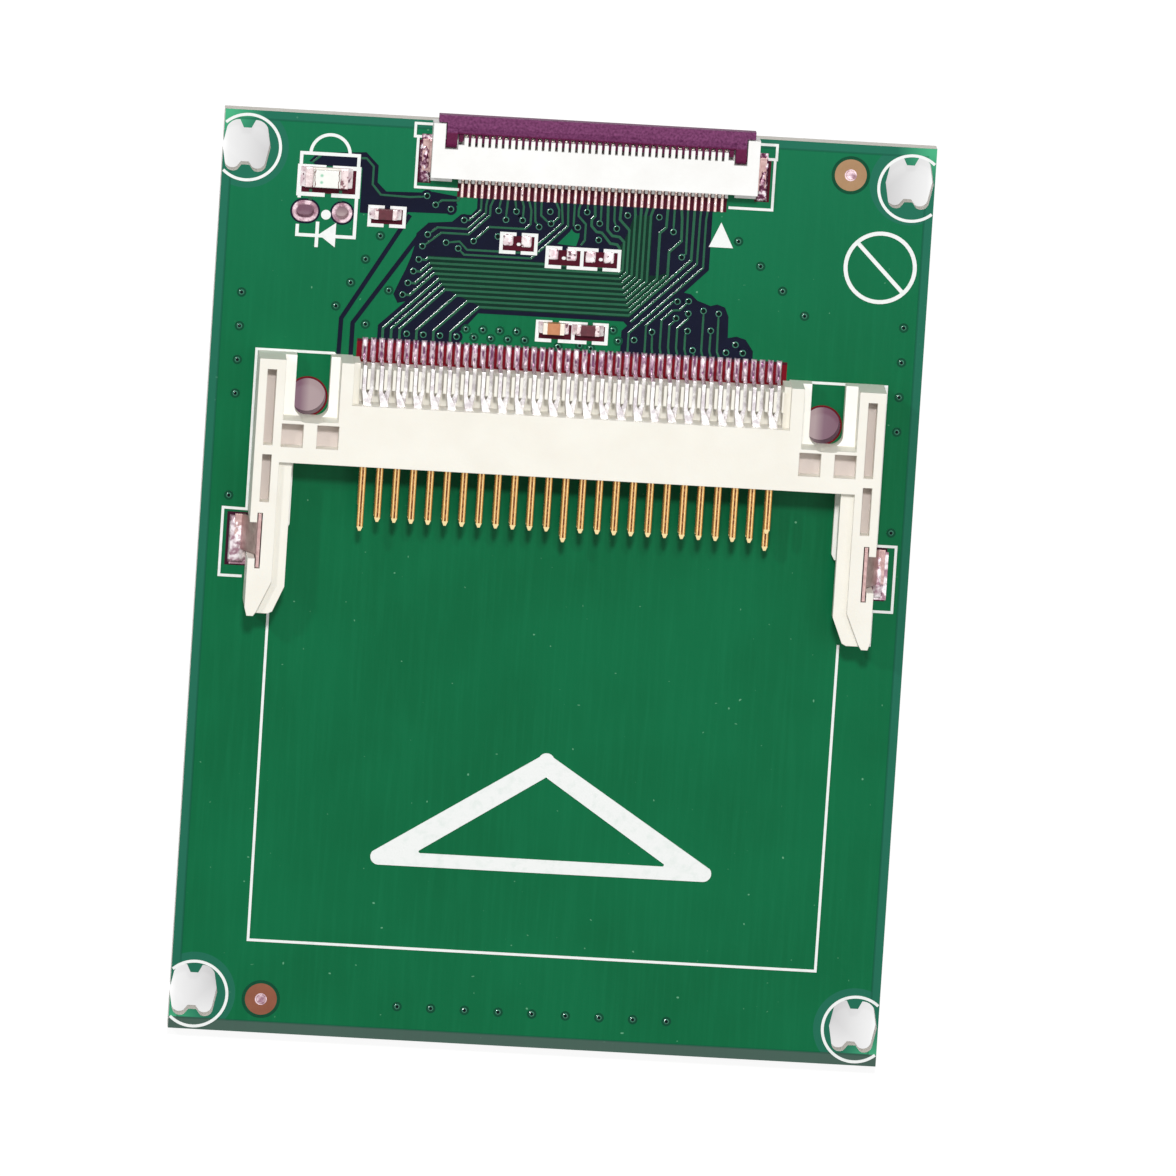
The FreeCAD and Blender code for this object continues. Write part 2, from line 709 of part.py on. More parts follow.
back_ledge = box("RibbonBackLedge",
                 ("ribbon_centre_x + ribbon_half_width - ribbon_back_ledge_inset",
                  RIBBON_Y + " - ribbon_back_ledge_length", TOP),
                 ("ribbon_back_ledge_inset - ribbon_back_ledge_gap", "ribbon_back_ledge_length",
                  "ribbon_back_height"))
trunnion_bore = crosswise("RibbonTrunnionBore",
                          "ribbon_centre_x + ribbon_half_width - ribbon_ear",
                          RIBBON_Y + " + latch_pivot_setback",
                          "board_thickness + latch_pivot_height",
                          "trunnion_radius + trunnion_clearance",
                          "trunnion_length + trunnion_clearance")
end_solid = fuse("RibbonEndSolid", [ear, side_block, back_ledge])
ribbon_end = cut("RibbonEnd", end_solid, trunnion_bore)
ribbon_other_end = mirrored("RibbonOtherEnd", ribbon_end, "ribbon_centre_x")

ribbon_x = size("ribbon_centre_x")
ribbon_back = half_length - size("ribbon_inset")
ways = int(size("contact_count"))
way_pitch = size("contact_pitch")
contact_x = [ribbon_x + (number - (ways - 1) / 2) * way_pitch for number in range(ways)]
between_x = [x + way_pitch / 2 for x in contact_x[:-1]]
outer_gap = (ways * way_pitch) / 2
roof_front = ribbon_back + size("ribbon_roof_length")
finger_end = roof_front + size("ribbon_finger_length")
gap_half = (way_pitch - size("ribbon_finger_width")) / 2
ribbon_top = top + size("ribbon_height")
roof_under = ribbon_top - size("ribbon_roof")
ribbon_moulding = fuse("RibbonMoulding", [ribbon_floor, back_wall, roof, ribbon_end,
                                          ribbon_other_end])
gap_root = roof_front - size("ribbon_finger_gap_root")
finger_gaps = [block(x - gap_half, x + gap_half, gap_root, finger_end, roof_under, ribbon_top)
               for x in between_x]
roof_half = size("ribbon_slot_half_width")
for side in (-1, 1):
    edges = sorted((ribbon_x + side * (outer_gap - gap_half), ribbon_x + side * roof_half))
    finger_gaps.append(block(*edges, roof_front, finger_end, roof_under, ribbon_top))
arm_low = top + size("ribbon_floor")
strip_rise = size("contact_thickness")
way_half = size("contact_width") / 2
wall_front = ribbon_back + size("ribbon_back_wall")
tail_passage = block(contact_x[0] - way_half, contact_x[-1] + way_half, ribbon_back, wall_front,
                     arm_low, arm_low + strip_rise)
ribbon_room = group("RibbonRoom", finger_gaps + [tail_passage])
ribbon_housing = cut("RibbonConnectorHousing", ribbon_moulding, ribbon_room)
ribbon_housing.Label = "ribbon_connector_housing"


# Ribbon contacts: forty stamped forks. The lower arm lies on the floor, the upper
# arm springs over the ribbon, and the tail bends down to the board behind.
def ribbon_contact(x):
    start = x - way_half
    bend = ribbon_back - size("contact_exit")
    foot = bend - size("contact_bend")
    tail_end = foot - size("contact_foot_length")
    arm_end = wall_front + size("contact_arm_length") - size("ribbon_back_wall")
    upper = arm_low + size("contact_arm_rise")
    heel = wall_front + 2 * strip_rise
    corners = [(tail_end, top), (foot, top), (bend, arm_low), (arm_end, arm_low),
               (arm_end, arm_low + strip_rise), (heel, arm_low + strip_rise), (heel, upper),
               (arm_end, upper), (arm_end, upper + strip_rise), (wall_front, upper + strip_rise),
               (wall_front, arm_low + strip_rise), (bend, arm_low + strip_rise),
               (foot, top + strip_rise), (tail_end, top + strip_rise)]
    return prism([(start, y, z) for y, z in corners], (2 * way_half, 0, 0))


ribbon_contacts = group("RibbonContacts", [ribbon_contact(x) for x in contact_x])
ribbon_contacts.Label = "ribbon_contacts"


# Ribbon hold-downs: small angle tabs against the housing's sides.
ribbon_tab_y = ribbon_back + size("ribbon_tab_setback")
ribbon_side = size("ribbon_half_width")


def side_tab(side):
    sheet_metal = size("ribbon_tab_thickness")
    inner = ribbon_x + side * ribbon_side
    outer = inner + side * size("ribbon_tab_width")
    rise = top + size("ribbon_tab_height")
    corners = [(inner, pad_top), (outer, pad_top), (outer, pad_top + sheet_metal),
               (inner + side * sheet_metal, pad_top + sheet_metal),
               (inner + side * sheet_metal, rise), (inner, rise)]
    return prism([(x, ribbon_tab_y, z) for x, z in corners], (0, size("ribbon_tab_length"), 0))


side_tab_left = group("RibbonHoldDownLeft", [side_tab(-1)])
side_tab_left.Label = "ribbon_hold_down_left"
side_tab_right = group("RibbonHoldDownRight", [side_tab(1)])
side_tab_right.Label = "ribbon_hold_down_right"


# Solder of the four hold-downs: a bed under each foot, and a slope up its end.
def tab_bed(centre_x, side, near, far, y_low, y_high):
    edges = sorted((centre_x + side * near, centre_x + side * far))
    return block(*edges, y_low, y_high, top, pad_top)


tab_pad_far = foot_tip + size("tab_pad_margin")
ribbon_pad_far = ribbon_side + size("ribbon_tab_width") + size("ribbon_tab_pad_margin")
tab_pad_y = slot_y - size("tab_notch_length") / 2 - size("tab_pad_overhang")
hold_down_beds = []
for side in (-1, 1):
    hold_down_beds.append(tab_bed(card_x, side, size("card_half_width"), tab_pad_far, tab_pad_y,
                                  tab_pad_y + size("tab_pad_length")))
    hold_down_beds.append(tab_bed(ribbon_x, side, ribbon_side, ribbon_pad_far, ribbon_back,
                                  ribbon_back + size("ribbon_tab_pad_length")))
hold_down_solder = group("HoldDownSolder", hold_down_beds)
hold_down_solder.Label = "hold_down_solder"


# Locking bar: dark nylon, hinged in the ears on two legs at its hidden rear edge. Its
# front lip spans the ears.
pivot_y = ribbon_back + size("latch_pivot_setback")
pivot_z = top + size("latch_pivot_height")
bar_back = pivot_y + size("latch_bar_setback")
bar_front = bar_back + size("latch_bar_depth")
bar_under = ribbon_top - size("latch_bar_height")
ear_inner = size("ribbon_half_width") - size("ribbon_ear")
bar_half = ear_inner - size("latch_side_clearance")
face_front = bar_back + size("latch_face_depth")
face_low = ribbon_top - size("latch_face_drop")
lip_back = ribbon_back + size("ribbon_ear_length") + size("latch_lip_gap")

bar_points = [(bar_back, bar_under), (bar_front, bar_under), (bar_front, ribbon_top),
              (face_front, ribbon_top), (bar_back, face_low)]
latch_bar = prism([(ribbon_x - bar_half, y, z) for y, z in bar_points], (2 * bar_half, 0, 0))
lip_half = size("latch_lip_half_width")
latch_lip = block(ribbon_x - lip_half, ribbon_x + lip_half, lip_back, bar_front, bar_under,
                  ribbon_top)
hub = size("latch_hub_radius")
latch_solids = [latch_bar, latch_lip]
leg_inner = size("ribbon_slot_half_width") + size("latch_side_clearance")
for side in (-1, 1):
    edges = sorted((ribbon_x + side * bar_half, ribbon_x + side * leg_inner))
    latch_solids.append(block(*edges, pivot_y, bar_back + hub, pivot_z - hub, pivot_z + hub))
    latch_solids.append(Part.makeCylinder(hub, edges[1] - edges[0],
                                          Vector(edges[0], pivot_y, pivot_z), Vector(1, 0, 0)))
    latch_solids.append(Part.makeCylinder(size("trunnion_radius"), size("trunnion_length"),
                                          Vector(ribbon_x + side * bar_half, pivot_y, pivot_z),
                                          Vector(side, 0, 0)))
latch = group("RibbonLatch", [joined(latch_solids)])
latch.Label = "ribbon_latch"


# Chip components: each sits on a thin bed of solder, between two plated ends.
BED = "board_thickness + solder_thickness"


def chip_body(name, label, kind, x, y, height, width):
    made = box(name, (f"{x} - {kind}_length / 2 + {kind}_end", f"{y} - {width} / 2", BED),
               (f"{kind}_length - 2 * {kind}_end", width, height))
    made.Label = label
    return made


def chip_ends(name, label, kind, x, y, height):
    length = size(kind + "_length") / 2
    end = size(kind + "_end")
    half = size(kind + "_width") / 2
    rise = size(height)
    made = group(name, [
        block(size(x) - length, size(x) - length + end, size(y) - half, size(y) + half, pad_top,
              pad_top + rise),
        block(size(x) + length - end, size(x) + length, size(y) - half, size(y) + half, pad_top,
              pad_top + rise)])
    made.Label = label
    return made


led_base = chip_body("LedBase", "led_base", "led", "led_x", "led_y", "led_base_height", "led_width")
led_ends = chip_ends("LedTerminals", "led_terminals", "led", "led_x", "led_y", "led_end_height")
led_lens = box("LedLens",
               ("led_x - led_length / 2 + led_end", "led_y - led_width / 2 + led_lens_margin",
                BED + " + led_base_height"),
               ("led_length - 2 * led_end", "led_width - 2 * led_lens_margin", "led_lens_height"))
led_lens.Label = "led_lens"
chip_nodes = [led_base, led_ends, led_lens]
for name, label, kind, place_x, place_y in (
        ("LedResistor", "led_resistor", "resistor", "led_resistor_x", "led_resistor_y"),
        ("SignalResistor", "signal_resistor", "resistor", "signal_resistor_x", "signal_resistor_y"),
        ("Capacitor", "capacitor", "capacitor", "capacitor_x", "capacitor_y")):
    chip_nodes.append(chip_body(name + "Body", label + "_body", kind, place_x, place_y,
                                kind + "_height", kind + "_width"))
    chip_nodes.append(chip_ends(name + "Ends", label + "_ends", kind, place_x, place_y,
                                kind + "_height"))


def chip_joint(kind, x, y, side):
    """Solder under one plated end, with a slope up its outer face."""
    face = size(kind + "_length") / 2
    inner = face - size(kind + "_end")
    outer = face + size("fillet_reach")
    half = size(kind + "_width") / 2
    corners = [(inner, top), (outer, top), (outer, top + size("solder_thickness") / 2),
               (face, pad_top + size("fillet_height")), (face, pad_top), (inner, pad_top)]
    return prism([(size(x) + side * across, size(y) - half, z) for across, z in corners],
                 (0, 2 * half, 0))


chip_joints = group("ChipSolderJoints", [
    chip_joint(kind, x, y, side)
    for kind, x, y in (("led", "led_x", "led_y"),
                       ("resistor", "led_resistor_x", "led_resistor_y"),
                       ("resistor", "signal_resistor_x", "signal_resistor_y"),
                       ("capacitor", "capacitor_x", "capacitor_y"))
    for side in (-1, 1)])
chip_joints.Label = "chip_solder_joints"


nodes = [board, card_housing, upper_contacts, lower_contacts, long_contacts, short_contacts,
         tab_left, tab_right, ribbon_housing, ribbon_contacts, side_tab_left, side_tab_right,
         hold_down_solder, latch, chip_joints] + chip_nodes

doc.recompute()
for item in doc.Objects:
    if "Invalid" in item.State or "Error" in item.State:
        raise RuntimeError(f"{item.Name} failed: {item.State}")
os.makedirs("parts", exist_ok=True)
for node in nodes:
    shape = node.Shape
    if shape.isNull() or not shape.isValid() or not shape.Solids:
        raise RuntimeError(f"{node.Label} has no valid solid")
    shape.exportStep(f"parts/{node.Label}.step")
    print(f"{node.Label}: {len(shape.Solids)} solids, {shape.Volume:.3f} mm3")
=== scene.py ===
"""Looks of the card-to-ribbon adapter board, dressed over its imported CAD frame.

The sections follow the board as it is put together: laminate, copper, mask and
print first, then the two connectors and the small chips, and the studio last.
"""
import math

import bmesh
import bpy
from mathutils import Matrix, Vector


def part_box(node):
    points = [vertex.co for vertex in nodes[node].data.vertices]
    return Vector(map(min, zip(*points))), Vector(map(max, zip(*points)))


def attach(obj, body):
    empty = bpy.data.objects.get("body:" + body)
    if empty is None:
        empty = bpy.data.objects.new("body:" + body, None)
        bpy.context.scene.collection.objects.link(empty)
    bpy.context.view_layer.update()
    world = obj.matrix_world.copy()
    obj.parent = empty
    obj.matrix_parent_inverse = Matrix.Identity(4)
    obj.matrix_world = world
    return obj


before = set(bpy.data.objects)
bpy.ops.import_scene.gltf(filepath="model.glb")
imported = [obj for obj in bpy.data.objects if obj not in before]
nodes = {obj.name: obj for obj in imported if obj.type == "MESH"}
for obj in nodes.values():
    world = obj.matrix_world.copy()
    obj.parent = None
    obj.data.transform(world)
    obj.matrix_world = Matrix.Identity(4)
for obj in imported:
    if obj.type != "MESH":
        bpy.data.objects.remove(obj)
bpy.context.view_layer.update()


# The board: glass-fibre laminate, 1.6 mm thick, with a copper plane under a satin
# green solder mask. The mask stops a little short of the routed, pale edges.
MM = 0.001
board_low, board_high = (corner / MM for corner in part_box("circuit_board"))
TOP = board_high.z


def rgb(red, green, blue):
    """Linear colour from screen values of 0 to 255."""
    def linear(value):
        share = value / 255
        return share / 12.92 if share <= 0.04045 else ((share + 0.055) / 1.055) ** 2.4
    return (linear(red), linear(green), linear(blue), 1.0)


def add(tree, kind, sockets=None, **properties):
    """Add a node. Each named or numbered socket gets a link or a plain value."""
    made = tree.nodes.new(kind)
    for name, value in properties.items():
        setattr(made, name, value)
    for key, value in (sockets or {}).items():
        if isinstance(value, bpy.types.NodeSocket):
            tree.links.new(value, made.inputs[key])
        else:
            made.inputs[key].default_value = value
    return made


def maths(tree, operation, first, second=0.0):
    return add(tree, "ShaderNodeMath", {0: first, 1: second}, operation=operation).outputs[0]


def blend(tree, factor, first, second):
    """Mix of two colours, each a colour or a link."""
    return add(tree, "ShaderNodeMix", {0: factor, 6: first, 7: second},
               data_type="RGBA").outputs[2]


def millimetres(tree):
    """The piece's own coordinates, in millimetres of the board's frame."""
    place = add(tree, "ShaderNodeTexCoord").outputs["Object"]
    return add(tree, "ShaderNodeMapping", {"Vector": place, "Scale": (1 / MM, 1 / MM, 1 / MM)}
               ).outputs[0]


def noise(tree, place, scale, detail=2.0):
    return add(tree, "ShaderNodeTexNoise", {"Vector": place, "Scale": scale, "Detail": detail}
               ).outputs["Fac"]


def ramp(tree, factor, stops):
    """Colour that changes along a value, from stops of value and colour."""
    made = add(tree, "ShaderNodeValToRGB", {0: factor})
    points = made.color_ramp.elements
    while len(points) < len(stops):
        points.new(0.5)
    for point, (position, tone) in zip(points, stops):
        point.position = position
        point.color = tone
    return made.outputs[0]


def spread(tree, factor, low, high, to_low=0.0, to_high=1.0):
    """Stretch a grey value from one range to another, held at its ends."""
    return add(tree, "ShaderNodeMapRange",
               {0: factor, 1: low, 2: high, 3: to_low, 4: to_high}).outputs[0]


def axes(tree, vector):
    """The three parts of a place or of a direction."""
    return tuple(add(tree, "ShaderNodeSeparateXYZ", {0: vector}).outputs)


def facing(tree):
    """The three parts of the direction that a face looks in."""
    return axes(tree, add(tree, "ShaderNodeNewGeometry").outputs["Normal"])


def apart(tree, first, second):
    """Distance between two values."""
    return maths(tree, "ABSOLUTE", maths(tree, "SUBTRACT", first, second))


def flat_distance(tree, across, along):
    """Length of a step across and along the board."""
    return maths(tree, "SQRT", maths(tree, "ADD", maths(tree, "POWER", across, 2.0),
                                     maths(tree, "POWER", along, 2.0)))


def new_finish(name, roughness, metallic=0.0, specular=0.5):
    """An empty material: returns it with its tree, its shader and its coordinates."""
    made = bpy.data.materials.new(name)
    made.use_nodes = True
    tree = made.node_tree
    shader = tree.nodes["Principled BSDF"]
    shader.inputs["Roughness"].default_value = roughness
    shader.inputs["Metallic"].default_value = metallic
    shader.inputs["Specular IOR Level"].default_value = specular
    return made, tree, shader, millimetres(tree)


def colour(tree, shader, value):
    tree.links.new(value, shader.inputs["Base Color"])


def relief(tree, shader, height, depth, normal=None):
    """Fine surface relief, its depth in millimetres."""
    sockets = {"Height": height, "Distance": depth * MM, "Strength": 1.0}
    if normal is not None:
        sockets["Normal"] = normal
    tree.links.new(add(tree, "ShaderNodeBump", sockets).outputs[0], shader.inputs["Normal"])


def soft_edges(tree, radius):
    """Normal of edges rounded over a radius in millimetres."""
    return add(tree, "ShaderNodeBevel", {"Radius": radius * MM}, samples=6).outputs[0]


def dress(finish, *names):
    for name in names:
        nodes[name].data.materials.clear()
        nodes[name].data.materials.append(finish)


MASK_GREEN = rgb(6, 103, 62)
MASK_DEEP = rgb(4, 97, 57)
mask_finish, tree, shader, place = new_finish("solder_mask", 0.3, specular=0.1)
across, along, _ = axes(tree, place)
clouds = noise(tree, place, 0.12)
brushed = add(tree, "ShaderNodeMapping", {"Vector": place, "Scale": (3.2, 0.16, 1.0)}).outputs[0]
streaks = noise(tree, brushed, 1.0, 3.0)
plane = blend(tree, spread(tree, clouds, 0.35, 0.65), MASK_DEEP, MASK_GREEN)
plane = blend(tree, spread(tree, streaks, 0.45, 0.75, 0.0, 0.3), plane, rgb(18, 114, 72))
# Painted light: the green is painted lighter towards the ribbon end, the side the light comes from.
plane = blend(tree, spread(tree, along, 14.0, board_high.y, 0.0, 0.6), plane, rgb(20, 117, 80))
specks = spread(tree, noise(tree, place, 2.7, 0.0), 0.86, 0.9)
plane = blend(tree, specks, plane, rgb(96, 160, 124))
left_room = maths(tree, "SUBTRACT", across, board_low.x)
right_room = maths(tree, "SUBTRACT", board_high.x, across)
end_room = maths(tree, "SUBTRACT", board_high.y, along)
card_room = maths(tree, "SUBTRACT", along, board_low.y + 0.2)
edge_room = maths(tree, "MINIMUM", maths(tree, "MINIMUM", left_room, right_room),
                  maths(tree, "MINIMUM", end_room, card_room))
PLANE_INSET = 0.65
outside_plane = maths(tree, "LESS_THAN", edge_room, PLANE_INSET)
# A thin dark line is painted along the plane's edge: painted shade of the step at the plane's edge
# under the mask.
plane_edge_shade = maths(tree, "LESS_THAN", apart(tree, edge_room, PLANE_INSET), 0.08)
corner_x = maths(tree, "SUBTRACT", board_high.x, maths(tree, "ABSOLUTE", across))
corner_y = maths(tree, "SUBTRACT", board_high.y, maths(tree, "ABSOLUTE", along))
corner_way = flat_distance(tree, corner_x, corner_y)
CLEARANCE = 3.1
HOLE_INSET_X, HOLE_INSET_Y = 1.8, 2.8
ring_way = flat_distance(tree, maths(tree, "SUBTRACT", corner_x, HOLE_INSET_X),
                         maths(tree, "SUBTRACT", corner_y, HOLE_INSET_Y))
no_copper = maths(tree, "MAXIMUM", outside_plane, maths(tree, "LESS_THAN", ring_way, CLEARANCE))
bare_mask = blend(tree, spread(tree, corner_way, 0.5, 3.0, 1.0, 0.0), rgb(38, 106, 90),
                  rgb(88, 196, 146))
# Along the card's edge a grey strip is painted: a painted shadow line at that edge.
CARD_EDGE_SHADOW_WIDTH = 0.9
bare_mask = blend(tree, maths(tree, "LESS_THAN", along, board_low.y + CARD_EDGE_SHADOW_WIDTH), bare_mask,
                  rgb(84, 88, 92))
top_colour = blend(tree, maths(tree, "MULTIPLY", no_copper, 0.65), plane, bare_mask)
top_colour = blend(tree, maths(tree, "MULTIPLY", plane_edge_shade, 0.45), top_colour, rgb(8, 76, 56))
on_edge = maths(tree, "LESS_THAN", maths(tree, "ABSOLUTE", facing(tree)[2]), 0.5)
glass_layers = add(tree, "ShaderNodeTexWave", {"Vector": place, "Scale": 1.6, "Distortion": 2.0},
                   bands_direction="Z").outputs["Fac"]
laminate = blend(tree, spread(tree, glass_layers, 0.2, 0.8), rgb(196, 190, 176),
                 rgb(222, 217, 206))
colour(tree, shader, blend(tree, on_edge, top_colour, laminate))
relief(tree, shader, noise(tree, place, 1.7), 0.012)
dress(mask_finish, "circuit_board")


# Where the copper plane is etched away the laminate shows nearly black through the
# mask. The fields lie around the lamp and between the two connectors.
MASK_FILM = 0.012
card_low, card_high = (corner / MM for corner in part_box("card_connector_housing"))
ribbon_low, ribbon_high = (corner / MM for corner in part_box("ribbon_connector_housing"))
PIN_PITCH = 1.27
TAIL_PITCH = PIN_PITCH / 2
tail_ends = (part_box("card_signal_contacts_upper")[1] / MM).y
TAILS = 50
card_x = (card_low.x + card_high.x) / 2
first_tail = card_x - (TAILS - 1) / 2 * TAIL_PITCH
WAYS = 40
WAY_PITCH = 0.5
ways_low, ways_high = (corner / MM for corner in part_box("ribbon_contacts"))
first_way = (ways_low.x + ways_high.x) / 2 - (WAYS - 1) / 2 * WAY_PITCH
PAD_OVERHANG = 0.36
pads_top = tail_ends + PAD_OVERHANG
ways_end = ways_low.y


def prism(shape, outline, low, high):
    """Closed upright prism over a flat outline, in board millimetres."""
    floor = [shape.verts.new((x * MM, y * MM, low * MM)) for x, y in outline]
    roof = [shape.verts.new((x * MM, y * MM, high * MM)) for x, y in outline]
    shape.faces.new(roof)
    shape.faces.new(floor[::-1])
    for here in range(len(outline)):
        there = (here + 1) % len(outline)
        shape.faces.new((floor[here], floor[there], roof[there], roof[here]))


def film(shape, outline, thickness):
    """A thin flat layer on the board's top."""
    prism(shape, outline, TOP, TOP + thickness)


def strip(shape, path, width, low, high, closed=False, slope=0.0):
    """Flat-topped strip along a path, mitred at its bends; slope narrows its top."""
    points = [Vector(point) for point in path]
    count = len(points)
    rings = []
    for here, point in enumerate(points):
        before = points[here - 1] if closed or here else None
        after = points[(here + 1) % count] if closed or here < count - 1 else None
        ways = [(b - a).normalized() for a, b in ((before, point), (point, after))
                if a is not None and b is not None]
        normals = [Vector((-way.y, way.x)) for way in ways]
        normal = normals[0] if len(normals) == 1 else (
            (normals[0] + normals[1]) / (1 + normals[0].dot(normals[1])))
        ring = []
        for side, half, z in ((1, width / 2, low), (1, width / 2 - slope, high),
                              (-1, width / 2 - slope, high), (-1, width / 2, low)):
            spot = point + normal * side * half
            ring.append(shape.verts.new((spot.x * MM, spot.y * MM, z * MM)))
        rings.append(ring)
    for here in range(count if closed else count - 1):
        a, b = rings[here], rings[(here + 1) % count]
        for side in range(4):
            other = (side + 1) % 4
            shape.faces.new((a[side], b[side], b[other], a[other]))
    if not closed:
        shape.faces.new(rings[0])
        shape.faces.new(rings[-1][::-1])


def put(name, data):
    """A new object in the scene, at the origin."""
    made = bpy.data.objects.new(name, data)
    bpy.context.scene.collection.objects.link(made)
    return made


def piece(name, shape, finish, body="board"):
    """Turn a drawn shape into a named piece that rides on a body."""
    bmesh.ops.recalc_face_normals(shape, faces=shape.faces)
    mesh = bpy.data.meshes.new(name)
    shape.to_mesh(mesh)
    shape.free()
    mesh.materials.append(finish)
    made = put(name, mesh)
    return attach(made, body)


def clouded_finish(name, roughness, clouds, darker, lighter, bumps, depth, detail=2.0,
                   span=None, bump_detail=2.0, edge=None, **looks):
    """Material of two tones in soft clouds, with fine relief and, if asked, round edges."""
    made, tree, shader, place = new_finish(name, roughness, **looks)
    cloud = noise(tree, place, clouds, detail)
    if span:
        cloud = spread(tree, cloud, *span)
    colour(tree, shader, blend(tree, cloud, darker, lighter))
    relief(tree, shader, noise(tree, place, bumps, bump_detail), depth,
           soft_edges(tree, edge) if edge else None)
    return made


dark_finish = clouded_finish("mask_over_bare_laminate", 0.3, 0.9, rgb(6, 8, 30), rgb(12, 18, 42),
                             bumps=1.7, depth=0.012, specular=0.1)
PADS_MARGIN, WAYS_MARGIN = 0.6, 0.35
pads_left = first_tail - PADS_MARGIN
pads_right = first_tail + (TAILS - 1) * TAIL_PITCH + PADS_MARGIN
ways_left = first_way - WAYS_MARGIN
ways_right = first_way + (WAYS - 1) * WAY_PITCH + WAYS_MARGIN
PADS_LAP, WAYS_LAP = 0.3, 0.2
field_foot = pads_top - PADS_LAP
field_head = ways_end + WAYS_LAP
shape = bmesh.new()
film(shape, [(-14.3, field_foot), (-8.4, field_foot), (-8.35, 18.95), (-7.55, 19.75),
             (-6.85, 20.6), (4.05, 20.6), (4.35, 20.3), (3.95, 19.9), (3.95, field_foot),
             (13.9, field_foot), (13.9, 18.9), (13.3, 19.75), (12.6, 19.95), (11.95, 19.8),
             (11.9, 21.4), (11.6, 22.1), (11.0, 22.3), (10.5, 22.15), (9.95, 22.35),
             (9.5, 22.5), (9.0, 22.95), (8.45, 23.05), (10.2, 24.85), (10.2, field_head),
             (-7.45, field_head), (-7.45, 28.5), (-7.85, 28.02), (-8.6, 28.02), (-9.25, 27.42),
             (-11.0, 27.25), (-11.85, 26.4), (-11.95, 25.4), (-12.15, 24.6), (-12.5, 23.6),
             (-12.9, 22.7), (-13.3, 21.7), (-12.95, 21.05), (-12.35, 21.2), (-14.3, 19.3)],
     MASK_FILM)
film(shape, [(-20.2, 31.4), (-19.6, 32.05), (-15.97, 32.3), (-15.0, 31.35), (-15.0, 30.07),
             (-14.3, 29.42), (-11.6, 29.5), (-10.8, 29.6), (ways_left, 29.35),
             (ways_left, 28.85), (-8.9, 28.7), (-9.7, 28.0), (-12.6, 27.95), (-12.7, 27.7),
             (-16.2, 27.7), (-16.2, 31.1), (-19.6, 31.1)], MASK_FILM)
GAP_WIDTH = 0.34
GAP_FILM = MASK_FILM + 0.003
for path in ([(-12.42, 27.75), (-17.08, 19.65), (-17.12, 16.5)],
             [(-11.6, 26.3), (-16.2, 19.35), (-16.2, 16.6)]):
    strip(shape, path, GAP_WIDTH, TOP, TOP + GAP_FILM)
piece("etched_fields", shape, dark_finish)
between_finish = clouded_finish("mask_between_traces", 0.3, 0.9, rgb(0, 36, 26), rgb(2, 48, 34),
                                bumps=1.7, depth=0.012, specular=0.1)
shape = bmesh.new()
film(shape, [(-10.96, 24.75), (-10.67, 24.18), (-10.2, 23.45), (-9.96, 23.06), (-9.47, 22.32),
             (-8.58, 21.93), (-7.66, 21.53), (-6.77, 21.13), (-6.55, 20.93), (4.47, 20.93),
             (7.3, 23.76), (7.2, 24.5), (6.35, 24.2), (5.75, 24.2), (5.75, 28.7), (4.35, 28.7),
             (4.0, 27.5), (3.65, 26.6), (3.35, 26.2), (3.35, 24.75)], GAP_FILM + 0.003)
piece("field_between_traces", shape, between_finish)


# Copper traces under the mask: thin green ridges with sloped flanks. A bus of
# parallel runs joins the card pads to the ribbon pads, with short stubs to vias.
TRACE = 0.21
TRACE_RISE = 0.026
TRACE_FLANK = 0.052
BUS_TRACE = 0.25
trace_finish = clouded_finish("mask_over_traces", 0.14, 1.3, rgb(2, 78, 48), rgb(12, 94, 62),
                              bumps=6.0, depth=0.002, specular=0.38)


def tail_place(number):
    return first_tail + number * TAIL_PITCH


def way_place(number):
    return first_way + number * WAY_PITCH


def trace(path, width=TRACE):
    strip(shape, path, width, TOP, TOP + TRACE_RISE, slope=TRACE_FLANK)


STUB_TOP = 19.07
VIA_STUB = 0.55
VIA_CHAIN = (-11.56, 24.43)
VIA_CHAIN_STEP = (-0.35, -0.91)
shape = bmesh.new()
bus_pads = (2, 3, 4, 6, 8, 10)
bus_right = (
    (20, [(3.2, 24.6), (3.4, 24.8), (3.4, 26.15), (3.2, 26.4), (2.7, 26.45), (2.0, 27.23),
          (1.6, 27.28), (1.2, 27.7), (1.2, 28.2), (1.43, 28.45)]),
    (22, [(3.43, 24.21), (3.72, 24.5), (3.72, 26.62), (3.35, 26.98), (2.8, 27.04), (2.42, 27.45)]),
    (24, [(3.58, 23.82), (4.06, 24.3), (4.06, 27.54), (3.3, 28.3)]),
    (26, [(3.71, 23.43), (4.43, 24.15), (4.43, 28.7)]),
    (27, [(3.86, 23.04), (4.82, 24.0)]),
    (28, [(4.0, 22.65), (5.2, 23.85), (5.2, 28.7)]),
    (29, [(4.11, 22.26), (5.6, 23.75), (5.6, 28.7)]),
    (31, [(4.24, 21.87), (6.35, 23.98), (6.35, 27.45), (6.8, 27.9)]),
    (33, [(4.33, 21.48), (7.13, 24.28), (7.13, 26.06), (8.0, 26.93), (7.95, 28.6)]),
    (35, [(4.41, 21.09), (8.82, 25.5)]))
for number, (way, right) in enumerate(bus_right):
    level = right[0][1]
    if number < 4:
        via_x = VIA_CHAIN[0] + number * VIA_CHAIN_STEP[0]
        via_y = VIA_CHAIN[1] + number * VIA_CHAIN_STEP[1]
        left = [(via_x, via_y), (via_x + VIA_STUB, via_y),
                (via_x + VIA_STUB + level - via_y, level)]
    else:
        pad = tail_place(bus_pads[number - 4])
        left = [(pad, field_foot), (pad, STUB_TOP), (pad + level - STUB_TOP, level)]
    trace(left + right + [(way_place(way), field_head)], BUS_TRACE)
trace([(4.6, 20.6), (9.27, 25.27), (9.3, 28.7), (way_place(36), field_head)])
